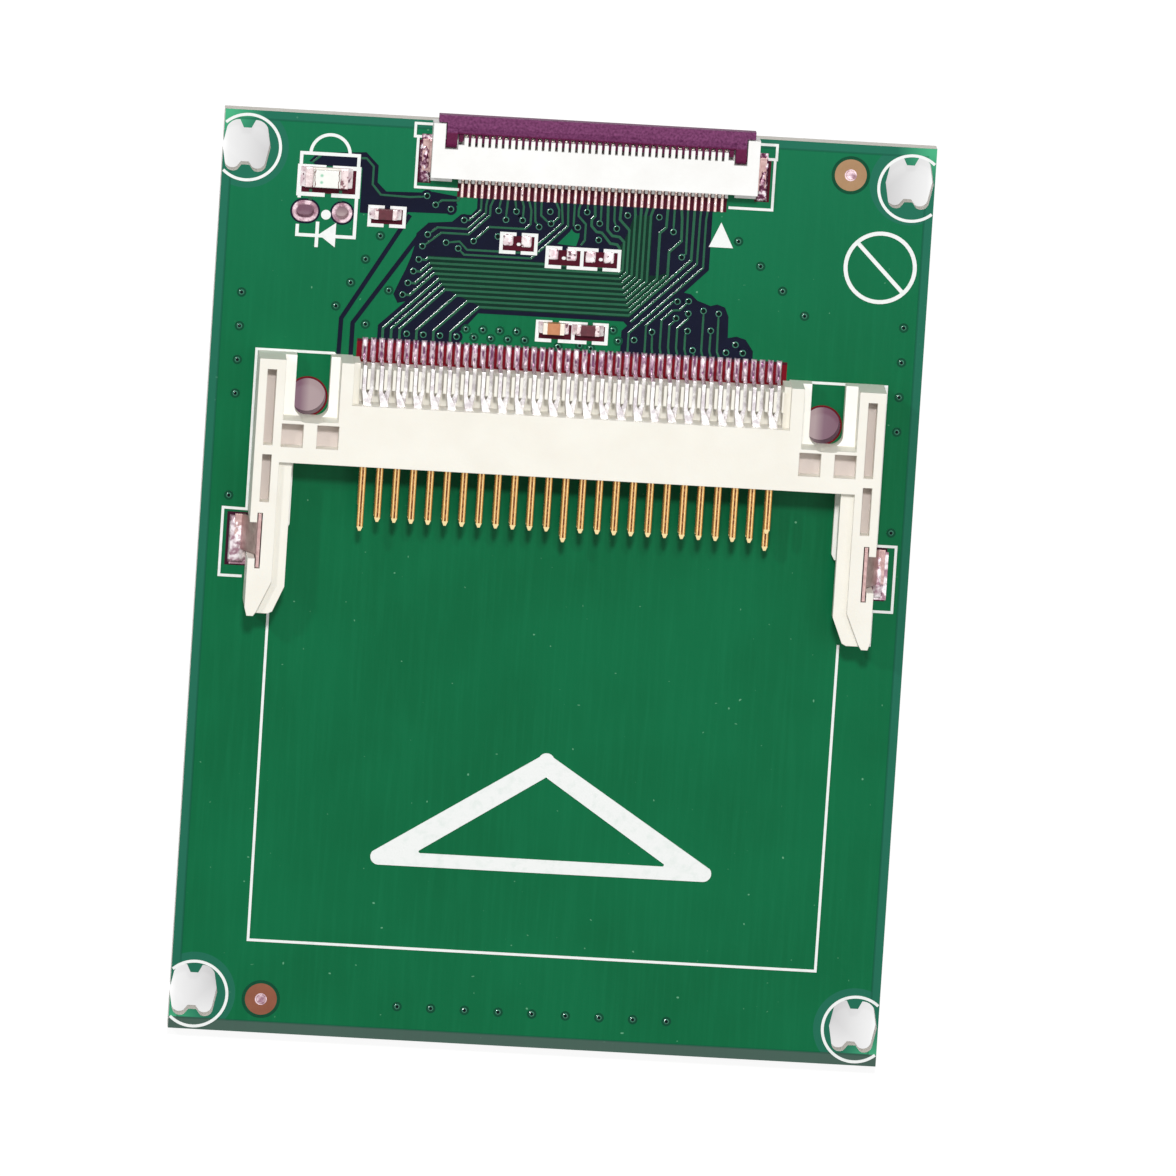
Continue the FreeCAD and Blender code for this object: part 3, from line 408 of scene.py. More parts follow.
trace([(tail_place(31), field_foot), (tail_place(31), 19.75), (9.75, 25.0), (9.75, 28.7),
       (way_place(37), field_head)])
trace([(-9.6, 25.82), (-8.6, 25.95), (-8.0, 25.36), (-3.4, 25.36), (-0.97, 27.79),
       (way_place(15), field_head)])
trace([(-8.66, 25.43), (-8.2, 24.98), (-3.16, 24.98), (-0.56, 27.58), (way_place(16), field_head)])
for way, path in (
        (0, [(-8.9, 29.05), (-10.1, 29.0), (-10.56, 28.63)]),
        (3, [(way_place(3), 28.4), (-7.95, 27.6), (-8.31, 27.6)]),
        (4, [(-6.77, 28.8), (-6.77, 28.2), (-8.04, 26.93), (-10.3, 26.93), (-11.0, 26.35)]),
        (5, [(-6.44, 28.75), (-6.44, 28.05), (-7.95, 26.54), (-10.0, 26.54), (-11.3, 25.45)]),
        (6, [(-5.82, 28.47)]),
        (7, [(-5.25, 27.85)]),
        (8, [(-4.49, 28.5)]),
        (9, [(-3.95, 28.85), (-3.97, 27.85)]),
        (10, [(-3.37, 28.6), (-3.37, 27.56), (-3.75, 27.18), (-6.43, 27.18), (-7.52, 26.06)]),
        (11, [(-3.02, 27.8), (-2.72, 27.43)]),
        (12, [(-2.62, 28.28), (-1.95, 27.7)]),
        (14, [(-1.3, 28.8), (-1.28, 28.2), (-1.65, 27.82)]),
        (17, [(-0.14, 27.6)]),
        (18, [(0.18, 28.85), (0.18, 28.4), (0.77, 27.8), (0.77, 26.58), (0.5, 26.2)]),
        (19, [(0.82, 28.7)]),
        (21, [(1.87, 28.0)]),
        (23, [(2.88, 28.2), (3.08, 27.65)]),
        (32, [(7.35, 27.7)]),
        (34, [(8.4, 26.0), (8.15, 25.75)])):
    trace([(way_place(way), field_head)] + path)
trace([(-12.5, 29.1), (-11.6, 29.18), (-11.24, 29.25)])
trace([(-16.4, 31.84), (-15.93, 31.84), (-15.36, 31.25), (-15.36, 29.9), (-14.7, 29.15),
       (-12.5, 29.1)])
trace([(-20.0, 31.3), (-19.3, 31.9)])
for tail, path in (
        (33, [(tail_place(33), 20.4), (7.7, 22.33), (7.98, 22.34)]),
        (34, [(6.3, 18.7), (6.26, 19.92)]),
        (35, [(6.9, 18.8), (6.9, 20.85), (7.7, 21.65), (8.2, 21.7), (8.82, 22.35)]),
        (36, [(7.52, 18.8), (7.52, 20.5), (8.0, 21.0)]),
        (37, [(8.12, 18.8), (8.12, 20.3), (8.88, 21.1), (8.88, 21.4)]),
        (38, [(8.75, 18.8), (8.75, 19.9), (8.89, 20.1)]),
        (39, [(9.4, 18.7)]),
        (40, [(10.02, 18.7), (10.02, 21.7)]),
        (41, [(10.63, 18.7), (10.64, 20.25)]),
        (42, [(11.2, 18.7), (11.15, 21.6)])):
    trace([(tail_place(tail), field_foot)] + path)
LEAD_STRIP = 0.32
for x in (-19.97, -17.73):
    trace([(x, 29.3), (x, 28.45)], LEAD_STRIP)
piece("masked_traces", shape, trace_finish)
shape = bmesh.new()
film(shape, [(-0.14, 27.7), (-0.36, 27.2), (-1.27, 26.2), (0.14, 26.1), (0.33, 26.76),
             (0.36, 27.37), (0.03, 27.7)], MASK_FILM + 0.004)
piece("plane_island", shape, mask_finish)


# Plated vias: pin-head holes lined with copper and tented with mask. Each is a low green
# cone on a ring of darker mask, with a black pit that is painted shade for the hole.
def geometry_tree(name, *inputs):
    """Geometry tree with named float inputs; returns it, its ends and its sockets."""
    tree = bpy.data.node_groups.new(name, "GeometryNodeTree")
    tree.interface.new_socket("Geometry", in_out="INPUT", socket_type="NodeSocketGeometry")
    keys = {}
    for label in inputs:
        made = tree.interface.new_socket(label, in_out="INPUT", socket_type="NodeSocketFloat")
        keys[label] = made.identifier
    tree.interface.new_socket("Geometry", in_out="OUTPUT", socket_type="NodeSocketGeometry")
    start = tree.nodes.new("NodeGroupInput")
    end = tree.nodes.new("NodeGroupOutput")
    return tree, start.outputs, end.inputs[0], keys


def on_points(tree, points, form):
    """One copy of a form on every point, made real."""
    many = add(tree, "GeometryNodeInstanceOnPoints", {"Points": points, "Instance": form})
    return add(tree, "GeometryNodeRealizeInstances", {0: many.outputs[0]}).outputs[0]


def painted(tree, geometry, finish):
    return add(tree, "GeometryNodeSetMaterial", {"Geometry": geometry, "Material": finish}
               ).outputs[0]


def grown(name, places, tree, keys, values, body="board"):
    """Run a tree on points of board millimetres and keep the plain mesh as a piece."""
    points = bpy.data.meshes.new(name)
    points.from_pydata([(x * MM, y * MM, z * MM) for x, y, z in places], [], [])
    made = put(name, points)
    growth = made.modifiers.new("growth", "NODES")
    growth.node_group = tree
    for label, value in values.items():
        growth[keys[label]] = value
    whole = bpy.data.meshes.new_from_object(
        made.evaluated_get(bpy.context.evaluated_depsgraph_get()))
    made.modifiers.clear()
    made.data = whole
    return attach(made, body)


def row(start, step, count):
    return [(start[0] + step[0] * number, start[1] + step[1] * number) for number in range(count)]


ring_finish = clouded_finish("mask_over_via_rings", 0.15, 1.3, rgb(24, 98, 74),
                             rgb(60, 132, 106), bumps=6.0, depth=0.002)
# The pit's near-black colour is painted shade: it stands for the dark inside of the hole.
pit_shade_finish = clouded_finish("via_hole", 0.4, 3.0, rgb(2, 10, 12), rgb(8, 22, 22), bumps=5.0,
                             depth=0.01, specular=0.05)
halo_finish = clouded_finish("mask_round_vias", 0.3, 1.5, rgb(2, 62, 42), rgb(6, 80, 52),
                             bumps=1.7, depth=0.012, specular=0.1)
VIA_FLANK, PIT_GAP = 0.11, 0.01
plane_vias = row((-9.59, -32.43), (2.54, 0), 9)
plane_vias += row((-24.65, 21.2), (0, -2.56), 4) + [(-24.65, 5.77)]
plane_vias += row((25.08, 21.32), (0, -2.64), 4) + [(25.16, 5.72)]
plane_vias += row((12.28, 27.16), (1.77, -1.79), 4)
plane_vias += row((-14.54, 26.05), (-1.0, -1.83), 4) + [(-13.65, 21.96), (-15.24, 19.3)]
plane_vias += [(x, y + 0.62 * ((number + 1) % 2))
               for number, (x, y) in enumerate(row((-7.69, 18.75), (0.635, 0), 8))]
plane_vias += [(3.33, 19.9), (3.75, 19.1), (-0.72, 18.42), (0.9, 18.6), (1.73, 18.42)]
field_vias = row((-12.11, 18.75), (1.25, 0), 4)
field_vias += row(VIA_CHAIN, VIA_CHAIN_STEP, 4)
field_vias += [
    (-11.24, 29.27), (-10.56, 28.63), (-9.4, 28.37), (-8.35, 27.6), (-11.01, 26.35),
    (-11.35, 25.45), (-9.6, 25.82), (-8.66, 25.43), (-7.55, 26.05), (-5.75, 26.5),
    (-5.82, 28.45), (-5.23, 27.8), (-4.49, 28.47), (-3.98, 27.83), (-2.72, 27.4),
    (-1.96, 28.6), (-1.84, 27.7), (0.18, 27.53), (0.81, 28.73), (1.8, 27.92), (1.8, 26.67),
    (3.1, 27.6), (3.86, 28.65), (6.23, 28.65), (7.36, 27.6), (8.1, 25.72),
    (4.94, 19.25), (6.24, 19.93), (8.0, 22.35), (8.84, 22.42), (8.87, 21.48),
    (7.98, 21.08), (8.9, 20.16), (10.0, 21.75), (10.64, 20.28), (11.15, 21.6), (9.37, 18.72),
    (11.89, 18.69), (12.56, 19.32), (13.15, 18.72)]
HALO_FILM = 0.04


def plated(name, places, radius, halo, halo_finish):
    """Low green cones with a black pit of painted hole shade, each on a flat halo."""
    sizes = {"Ring radius": radius, "Ring top": radius - VIA_FLANK, "Ring height": VIA_FLANK / 2,
             "Hole radius": radius - VIA_FLANK - PIT_GAP, "Hole height": VIA_FLANK + PIT_GAP,
             "Halo radius": halo, "Film": HALO_FILM}
    tree, given, end, keys = geometry_tree(name, *sizes)
    cone = add(tree, "GeometryNodeMeshCone", {
        "Vertices": 12, "Radius Top": given["Ring top"], "Radius Bottom": given["Ring radius"],
        "Depth": given["Ring height"]})
    pit = add(tree, "GeometryNodeMeshCylinder", {"Vertices": 12, "Radius": given["Hole radius"],
                                                 "Depth": given["Hole height"]})
    moat = add(tree, "GeometryNodeMeshCylinder", {"Vertices": 16, "Radius": given["Halo radius"],
                                                  "Depth": given["Film"]})
    together = add(tree, "GeometryNodeJoinGeometry")
    for form, finish in ((moat, halo_finish), (pit, pit_shade_finish), (cone, ring_finish)):
        many = on_points(tree, given[0], form.outputs[0])
        tree.links.new(painted(tree, many, finish), together.inputs[0])
    tree.links.new(together.outputs[0], end)
    grown(name, [(x, y, TOP) for x, y in places], tree, keys,
          {label: value * MM for label, value in sizes.items()})


plated("field_vias", field_vias, 0.29, 0.46, dark_finish)
plated("plane_vias", plane_vias, 0.24, 0.36, halo_finish)


# Bare, mask-free laminate: a maroon band under each row of feet, the beds of the
# four hold-downs, and a ring round both screw holes.
bare_finish, tree, shader, place = new_finish("bare_laminate", 0.4, specular=0.1)
bare_tone = blend(tree, noise(tree, place, 2.2), rgb(96, 0, 14), rgb(124, 0, 26))
along = axes(tree, place)[1]
CHIPS_FROM, TABS_UP_TO = 18.0, 6.0
bare_tone = blend(tree, maths(tree, "GREATER_THAN", along, CHIPS_FROM), bare_tone,
                  blend(tree, noise(tree, place, 2.2), rgb(56, 6, 22), rgb(86, 12, 34)))
bare_tone = blend(tree, maths(tree, "LESS_THAN", along, TABS_UP_TO), bare_tone, rgb(54, 10, 34))
colour(tree, shader, bare_tone)
relief(tree, shader, noise(tree, place, 5.0), 0.01)
BARE_FILM = 0.016


def oblong(x_low, y_low, x_high, y_high):
    return [(x_low, y_low), (x_high, y_low), (x_high, y_high), (x_low, y_high)]


def arc(x, y, radius, start=0.0, stop=360.0, steps=48):
    """Points of an arc in degrees; a full turn leaves its last point out."""
    count = steps if stop - start >= 360 else steps + 1
    return [(x + radius * math.cos(math.radians(start + (stop - start) * step / steps)),
             y + radius * math.sin(math.radians(start + (stop - start) * step / steps)))
            for step in range(count)]


def ring(shape, x, y, radius, width, thickness, steps=48):
    """A flat round ring on the board's top."""
    strip(shape, arc(x, y, radius, steps=steps), width, TOP, TOP + thickness, closed=True)


screw_y = 13.6
screw_holes = ((-19.24, screw_y), (19.42, screw_y))
SCREW_RADIUS = 1.4
BED_LAP, RIBBON_BED_REACH = 0.1, 1.0
CARD_BED_LOW, CARD_BED_HIGH = 0.5, 4.55
RIBBON_BED_LOW, RIBBON_BED_HIGH = 30.25, 33.5
BAND_FOOT, BAND_SHORT = 15.6, 0.12
WAYS_BAND_LAP, UNDER_COMB = 0.02, 0.6
SCREW_GAP = 0.12
shape = bmesh.new()
for bed in ((pads_left, BAND_FOOT, pads_right, pads_top - BAND_SHORT),
            (ways_left, ways_end - WAYS_BAND_LAP, ways_right, ribbon_low.y + UNDER_COMB),
            (-24.66, CARD_BED_LOW, card_low.x + BED_LAP, CARD_BED_HIGH),
            (card_high.x - BED_LAP, CARD_BED_LOW, 24.98, CARD_BED_HIGH),
            (ribbon_low.x - RIBBON_BED_REACH, RIBBON_BED_LOW, ribbon_low.x + BED_LAP,
             RIBBON_BED_HIGH),
            (ribbon_high.x - BED_LAP, RIBBON_BED_LOW, ribbon_high.x + RIBBON_BED_REACH,
             RIBBON_BED_HIGH)):
    film(shape, oblong(*bed), BARE_FILM)
for chip_bed in ((-20.73, 29.0, -16.58, 30.9), (-15.32, 26.95, -12.97, 28.1),
                 (-2.23, 18.98, 0.21, 20.12), (0.47, 18.98, 2.71, 20.12)):
    film(shape, oblong(*chip_bed), BARE_FILM + 0.006)
for x, y in screw_holes:
    ring(shape, x, y, SCREW_RADIUS + SCREW_GAP / 2, SCREW_GAP, BARE_FILM)
piece("bare_laminate_bands", shape, bare_finish)


# Fiducial marks and plated holes: bare copper discs at two corners, tinned rings and
# barrels at the two wire holes, and dark plated barrels at the screw holes.
copper_finish, tree, shader, place = new_finish("bare_copper", 0.5, specular=0.2)
along = axes(tree, place)[1]
dull = blend(tree, noise(tree, place, 1.1), rgb(158, 122, 88), rgb(174, 138, 102))
ruddy = blend(tree, noise(tree, place, 1.1), rgb(124, 70, 50), rgb(146, 90, 66))
colour(tree, shader, blend(tree, maths(tree, "GREATER_THAN", along, 0.0), ruddy, dull))
relief(tree, shader, noise(tree, place, 9.0), 0.008)
tin_finish = clouded_finish("tinned_pad", 0.34, 1.6, rgb(150, 112, 126), rgb(222, 196, 204),
                            bumps=4.0, depth=0.03, detail=4.0, span=(0.4, 0.6), bump_detail=3.0,
                            metallic=0.7)
barrel_finish = clouded_finish("dark_plating", 0.2, 2.0, rgb(42, 16, 30), rgb(104, 70, 84),
                               bumps=3.0, depth=0.03, metallic=0.8)
PLATING = 0.035
BARREL_WALL = 0.03
DISC_RADIUS = 1.2
DISC_GAP = 0.24
fiducials = ((20.35, 32.65), (-19.85, -32.43))
shape = bmesh.new()
for x, y in fiducials:
    film(shape, arc(x, y, DISC_RADIUS), PLATING / 2)
piece("fiducial_discs", shape, copper_finish)
shape = bmesh.new()
for x, y in fiducials:
    ring(shape, x, y, DISC_RADIUS + DISC_GAP / 2, DISC_GAP, BARE_FILM)
piece("fiducial_rings", shape, halo_finish)
shape = bmesh.new()
for x, y in fiducials:
    film(shape, arc(x, y, 0.32, steps=20), PLATING)
    ring(shape, x, y, 0.4, 0.1, PLATING, steps=20)


def stadium(x, y, shift, radius):
    """Outline of a round or, with a shift, stretched hole."""
    return arc(x + shift, y, radius, -90, 90, 18) + arc(x - shift, y, radius, 90, 270, 18)


WIRE_HOLE = 0.53
RING_LAP, RING_FLANK = 0.03, 0.05
OVAL_SHIFT, ROUND_SHIFT = 0.175, 0.001
wire_holes = ((-20.28, 27.61, OVAL_SHIFT, 0.32), (-17.51, 27.61, ROUND_SHIFT, 0.28))
for x, y, shift, ring_width in wire_holes:
    strip(shape, stadium(x, y, shift, WIRE_HOLE + ring_width / 2 - RING_LAP), ring_width, TOP,
          TOP + PLATING, closed=True, slope=RING_FLANK)
    strip(shape, stadium(x, y, shift, WIRE_HOLE - 0.02), BARREL_WALL, 0.0, TOP + PLATING,
          closed=True)
piece("wire_hole_rings", shape, tin_finish)
shape = bmesh.new()
for x, y, shift, ring_width in wire_holes:
    strip(shape, stadium(x, y, shift, WIRE_HOLE + ring_width + 0.03), 0.13, TOP,
          TOP + BARE_FILM, closed=True)
piece("wire_hole_clearances", shape, dark_finish)
shape = bmesh.new()
for x, y in screw_holes:
    strip(shape, arc(x, y, SCREW_RADIUS - 0.02), BARREL_WALL, 0.0, TOP + BARE_FILM, closed=True)
piece("screw_hole_barrels", shape, barrel_finish)


# Print: white ink, screened over the mask. Rings round the corner holes, outlines of
# the parts and of the card, and an arrowhead for the way the card goes in.
PRINT = 0.05
LINE = 0.2
ink_finish = clouded_finish("white_ink", 0.55, 1.6, rgb(224, 230, 226), rgb(234, 236, 234),
                            bumps=7.0, depth=0.012, detail=4.0, span=(0.3, 0.5))
INK_STEP = 0.0006
shape = bmesh.new()
inked = []


def ink_height():
    """Each stroke ends a hair above the one before, so that crossings stay clean."""
    inked.append(shape)
    return TOP + PRINT + INK_STEP * len(inked)


def ink_line(path, width=LINE, closed=False):
    strip(shape, path, width, TOP, ink_height(), closed)


def ink_area(outline):
    prism(shape, outline, TOP, ink_height())


def brackets(x_low, y_low, x_high, y_high, reach, width):
    """A pair of square brackets round a small part."""
    for outer, inner in ((x_low, x_low + reach), (x_high, x_high - reach)):
        ink_line([(inner, y_high), (outer, y_high), (outer, y_low), (inner, y_low)], width)


RING_RADIUS = 2.48
RING_END_GAP = 0.1
for x, y in ((-24.9, 32.18), (-24.9, -32.29)):
    cut = math.degrees(math.acos((x - board_low.x - RING_END_GAP) / RING_RADIUS))
    ink_line(arc(x, y, RING_RADIUS, cut - 180, 180 - cut), 0.22)
for x, y in ((24.98, 31.91), (24.98, -32.24)):
    cut = math.degrees(math.acos((board_high.x - RING_END_GAP - x) / RING_RADIUS))
    ink_line(arc(x, y, RING_RADIUS, cut, 360 - cut), 0.22)
ink_line(arc(-18.66, 32.0, 1.47, 0, 180, 24), 0.24)
ink_line([(-20.8, 28.6), (-20.8, 32.0), (-16.5, 32.0), (-16.5, 25.8), (-20.8, 25.8),
          (-20.8, 26.6)], 0.25)
brackets(-20.88, 28.9, -16.43, 31.0, 1.98, 0.3)
ink_line([(-19.3, 26.85), (-19.3, 24.92)], 0.26)
ink_area([(-19.17, 25.88), (-17.9, 24.98), (-17.9, 26.84)])
ink_area(arc(-18.71, 27.41, 0.37, steps=24))
CHIP_LINE = 0.26
for x_low, y_low, x_high, y_high, reach in (
        (-15.45, 26.84, -12.84, 28.22, 1.1), (-5.47, 25.37, -2.87, 26.75, 1.1),
        (-1.98, 24.46, 0.64, 25.89, 1.1), (0.64, 24.46, 3.43, 25.89, 1.2),
        (-2.36, 18.86, 0.34, 20.25, 1.1), (0.34, 18.86, 2.84, 20.25, 1.05)):
    brackets(x_low, y_low, x_high, y_high, reach, CHIP_LINE)
for x, y in ((-4.16, 26.0), (-0.72, 25.15), (2.06, 25.2)):
    ink_area(stadium(x, y, 0.03, 0.12))
ink_area([(10.9, 28.53), (10.07, 26.63), (11.89, 26.63)])
mark_x, mark_y, mark_radius = 23.01, 25.78, 2.6
ink_line(arc(mark_x, mark_y, mark_radius), 0.3, closed=True)
slant = mark_radius * math.sqrt(0.5)
ink_line([(mark_x - slant, mark_y + slant), (mark_x + slant, mark_y - slant)], 0.3)
ink_line([(-21.16, -2.9), (-21.1, -27.95), (21.68, -27.95), (21.75, -3.0)])
ink_line([(-16.9, 16.36), (-17.45, 16.97), (-23.25, 16.97), (-23.25, 4.8), (-25.02, 4.84),
          (-25.02, -0.31), (-23.3, -0.31)])
ink_line([(17.6, 16.22), (18.15, 16.8), (24.1, 16.8), (24.1, 4.68), (25.62, 4.68), (25.62, -0.31),
          (24.1, -0.31), (24.1, -3.0)])
ink_line([(-12.42, 34.72), (-10.95, 34.72), (-10.95, 33.74), (-12.42, 33.74)], closed=True)
ink_line([(13.3, 34.6), (14.72, 34.6), (14.72, 33.5), (13.3, 33.5)], closed=True)
ink_line([(-12.17, 33.7), (-12.17, 29.9), (-8.9, 29.88)])
ink_line([(14.62, 33.4), (14.62, 29.68), (11.35, 29.68)])

arrow_outer = ((0.44, -13.1), (-11.7, -21.05), (12.75, -21.0))
arrow_inner = ((0.49, -14.45), (-8.6, -20.5), (9.65, -20.5))
outer_ring, inner_ring = [], []
for (x, y), (inner_x, inner_y), middle in zip(arrow_outer, arrow_inner, (90, 205, -25)):
    outer_ring += arc(x, y, 0.62, middle - 62, middle + 62, 8)
    inner_ring += arc(inner_x, inner_y, 0.12, middle - 62, middle + 62, 8)
for here in range(len(outer_ring)):
    there = (here + 1) % len(outer_ring)
    ink_area([outer_ring[here], outer_ring[there], inner_ring[there], inner_ring[here]])
piece("white_print", shape, ink_finish)


# Card connector housing: cream high-temperature plastic, one moulding with a header
# across its middle and two arms that guide the card.
cream_finish, tree, shader, place = new_finish("cream_moulding", 0.46)
POCKET_FLOOR = 4.3
FLANGE_TOP = 3.2
shader.inputs["Subsurface Weight"].default_value = 0.08
shader.inputs["Subsurface Radius"].default_value = (0.0006, 0.0005, 0.0004)
cream = blend(tree, spread(tree, noise(tree, place, 0.35, 4.0), 0.3, 0.7),
              rgb(235, 231, 220), rgb(239, 236, 226))
height = axes(tree, place)[2]
level_face = maths(tree, "GREATER_THAN", facing(tree)[2], 0.9)
# Painted shade: the pocket floors are painted a darker grey-lilac, for the shade in the pockets.
pocket_floor_shade = maths(tree, "MULTIPLY", level_face,
                  maths(tree, "LESS_THAN", apart(tree, height, POCKET_FLOOR), 0.03))
# Painted light: the low flange is painted paler, for the light that the header's wall keeps from
# it.
flange_painted_light = maths(tree, "MULTIPLY", level_face, maths(tree, "LESS_THAN", height, FLANGE_TOP))
cream = blend(tree, flange_painted_light, cream, rgb(252, 250, 244))
colour(tree, shader, blend(tree, pocket_floor_shade, cream, rgb(214, 202, 196)))
relief(tree, shader, noise(tree, place, 6.0), 0.008, soft_edges(tree, 0.07))
dress(cream_finish, "card_connector_housing")


# Card contacts: stamped strips, gold over the pins and tinned over the tails. A row
# of dark pits runs down the middle of each pin, left by the stamping.
def off_centre(tree, across, middle, pitch):
    """Distance to the middle of the nearest strip of a row."""
    step = maths(tree, "SUBTRACT", across, middle)
    return maths(tree, "ABSOLUTE", add(tree, "ShaderNodeMath", {
        0: step, 1: pitch / 2, 2: -pitch / 2}, operation="WRAP").outputs[0])


contact_finish, tree, shader, place = new_finish("gold_contact", 0.26, 0.85)
across, along, _ = axes(tree, place)
from_middle = off_centre(tree, across, card_x, PIN_PITCH)
sideways, endways, upwards = facing(tree)
pits = maths(tree, "GREATER_THAN", noise(tree, place, 4.6, 1.0), 0.47)
seam = maths(tree, "MULTIPLY", maths(tree, "LESS_THAN", from_middle, 0.04), pits)
seam = maths(tree, "MULTIPLY", seam, maths(tree, "GREATER_THAN", upwards, 0.95))
# Across each pin the colour is painted highlight and shade of the rounded, folded strip: bright
# bands either side of the seam, darker towards the edges. The pits in the seam are the strip's own.
# The pale tips and the pale faces turned to the left are painted highlights.
gold = ramp(tree, from_middle, ((0.0, rgb(150, 98, 54)), (0.07, rgb(176, 122, 66)),
                                (0.105, rgb(248, 226, 172)), (0.13, rgb(230, 192, 124)),
                                (0.17, rgb(198, 148, 78)), (0.23, rgb(140, 90, 38))))
gold = blend(tree, seam, gold, rgb(92, 44, 26))
gold = blend(tree, maths(tree, "LESS_THAN", endways, -0.25), gold, rgb(250, 226, 168))
gold = blend(tree, maths(tree, "LESS_THAN", sideways, -0.5), gold, rgb(250, 226, 206))
tinned = blend(tree, spread(tree, noise(tree, place, 1.8, 3.0), 0.35, 0.6), rgb(210, 202, 206),
               rgb(250, 247, 246))
TAILS_BEGIN = 16.0
is_tail = maths(tree, "GREATER_THAN", along, card_low.y + TAILS_BEGIN)
colour(tree, shader, blend(tree, is_tail, gold, tinned))
relief(tree, shader, noise(tree, place, 5.0), 0.012, soft_edges(tree, 0.05))
dress(contact_finish, "card_signal_contacts_upper", "card_signal_contacts_lower",
      "card_power_contacts", "card_detect_contacts")


# Solder on the fifty card pads and the forty ribbon pads: a low, uneven mound of tin
# round each foot, wetted over the pad's whole length.
solder_finish, tree, shader, place = new_finish("solder", 0.16, 0.6)
drawn_out = add(tree, "ShaderNodeMapping", {"Vector": place, "Scale": (1.7, 0.8, 1.0)}).outputs[0]
mottle = noise(tree, drawn_out, 2.4, 4.0)
from_tail = off_centre(tree, axes(tree, place)[0], first_tail, TAIL_PITCH)
# Painted reflection: dark purple mottles along each pad's middle stand for dark surroundings
# mirrored in the solder.
dark_reflection = maths(tree, "MULTIPLY", spread(tree, from_tail, 0.16, 0.05),
               spread(tree, noise(tree, place, 1.1, 3.0), 0.4, 0.55))
tin = blend(tree, spread(tree, mottle, 0.42, 0.56), rgb(196, 160, 182), rgb(248, 236, 240))
colour(tree, shader, blend(tree, dark_reflection, tin, rgb(104, 52, 90)))
relief(tree, shader, noise(tree, place, 3.2, 3.0), 0.02)


def vector(tree, x=0.0, y=0.0, z=0.0):
    return add(tree, "ShaderNodeCombineXYZ", {0: x, 1: y, 2: z}).outputs[0]


def fall(tree, side, length, steepness):
    """Height of a dome's outline along one side, from its middle to its foot."""
    share = maths(tree, "DIVIDE", maths(tree, "MULTIPLY", side, 2.0), length)
    return maths(tree, "SUBTRACT", 1.08,
                 maths(tree, "POWER", maths(tree, "ABSOLUTE", share), steepness))


def mounds(name, finish, places, width, length, height, unevenness, lump_size):
    """Low domes of solder on the board's top, one on each place, wrinkled by noise."""
    tree, given, end, keys = geometry_tree(name, "Width", "Length", "Height", "Unevenness",
                                           "Lump size")
    size = vector(tree, given["Width"], given["Length"], given["Height"])
    slab = add(tree, "GeometryNodeMeshCube", {"Size": size, "Vertices X": 6, "Vertices Y": 14,
                                              "Vertices Z": 2}).outputs["Mesh"]
    spot = add(tree, "GeometryNodeInputPosition").outputs[0]
    side_x, side_y, side_z = axes(tree, spot)
    dome = maths(tree, "SQRT", maths(tree, "MULTIPLY", fall(tree, side_x, given["Width"], 2.6),
                                     fall(tree, side_y, given["Length"], 4.0)))
    upper = maths(tree, "MULTIPLY", maths(tree, "GREATER_THAN", side_z, 0.0), given["Height"])
    domed = add(tree, "GeometryNodeSetPosition", {
        "Geometry": slab,
        "Position": vector(tree, side_x, side_y, maths(tree, "MULTIPLY", upper, dome))})
    many = on_points(tree, given[0], domed.outputs[0])
    lumps = add(tree, "ShaderNodeTexNoise", {"Vector": spot, "Scale": given["Lump size"],
                                             "Detail": 2.0}).outputs["Fac"]
    above = maths(tree, "SUBTRACT", side_z, TOP * MM)
    lift = maths(tree, "MULTIPLY", above, maths(tree, "MULTIPLY", maths(
        tree, "SUBTRACT", lumps, 0.5), given["Unevenness"]))
    uneven = add(tree, "GeometryNodeSetPosition", {"Geometry": many,
                                                   "Offset": vector(tree, z=lift)}).outputs[0]
    smooth = add(tree, "GeometryNodeSetShadeSmooth", {"Geometry": uneven}).outputs[0]
    tree.links.new(painted(tree, smooth, finish), end)
    grown(name, [(x, y, TOP) for x, y in places], tree, keys,
          {"Width": width * MM, "Length": length * MM, "Height": height * MM,
           "Unevenness": unevenness, "Lump size": lump_size / MM})


bright_tin, tree, shader, place = new_finish("bright_tin", 0.2, 0.5)
pale = blend(tree, spread(tree, noise(tree, place, 1.4, 3.0), 0.4, 0.6), rgb(222, 196, 202),
             rgb(248, 240, 240))
colour(tree, shader, blend(tree, spread(tree, noise(tree, place, 2.6, 2.0), 0.6, 0.66), pale,
                           rgb(120, 84, 96)))
relief(tree, shader, noise(tree, place, 3.0, 3.0), 0.02)
heap_finish, tree, shader, place = new_finish("rough_solder", 0.22, 0.6)
mottle = noise(tree, place, 2.8, 5.0)
# Its darkest purple tone is a painted reflection of dark surroundings in the solder.
tin = blend(tree, spread(tree, mottle, 0.46, 0.52), rgb(88, 34, 64), rgb(170, 130, 148))
tin = blend(tree, spread(tree, mottle, 0.55, 0.6), tin, rgb(248, 236, 242))
TABS_BEYOND = 20.0
outward = maths(tree, "ABSOLUTE", axes(tree, place)[0])
paler = blend(tree, spread(tree, noise(tree, place, 1.5, 2.0), 0.4, 0.56), rgb(164, 126, 140),
              rgb(250, 240, 243))
colour(tree, shader, blend(tree, maths(tree, "GREATER_THAN", outward, TABS_BEYOND), tin, paler))
relief(tree, shader, noise(tree, place, 4.0, 4.0), 0.04)

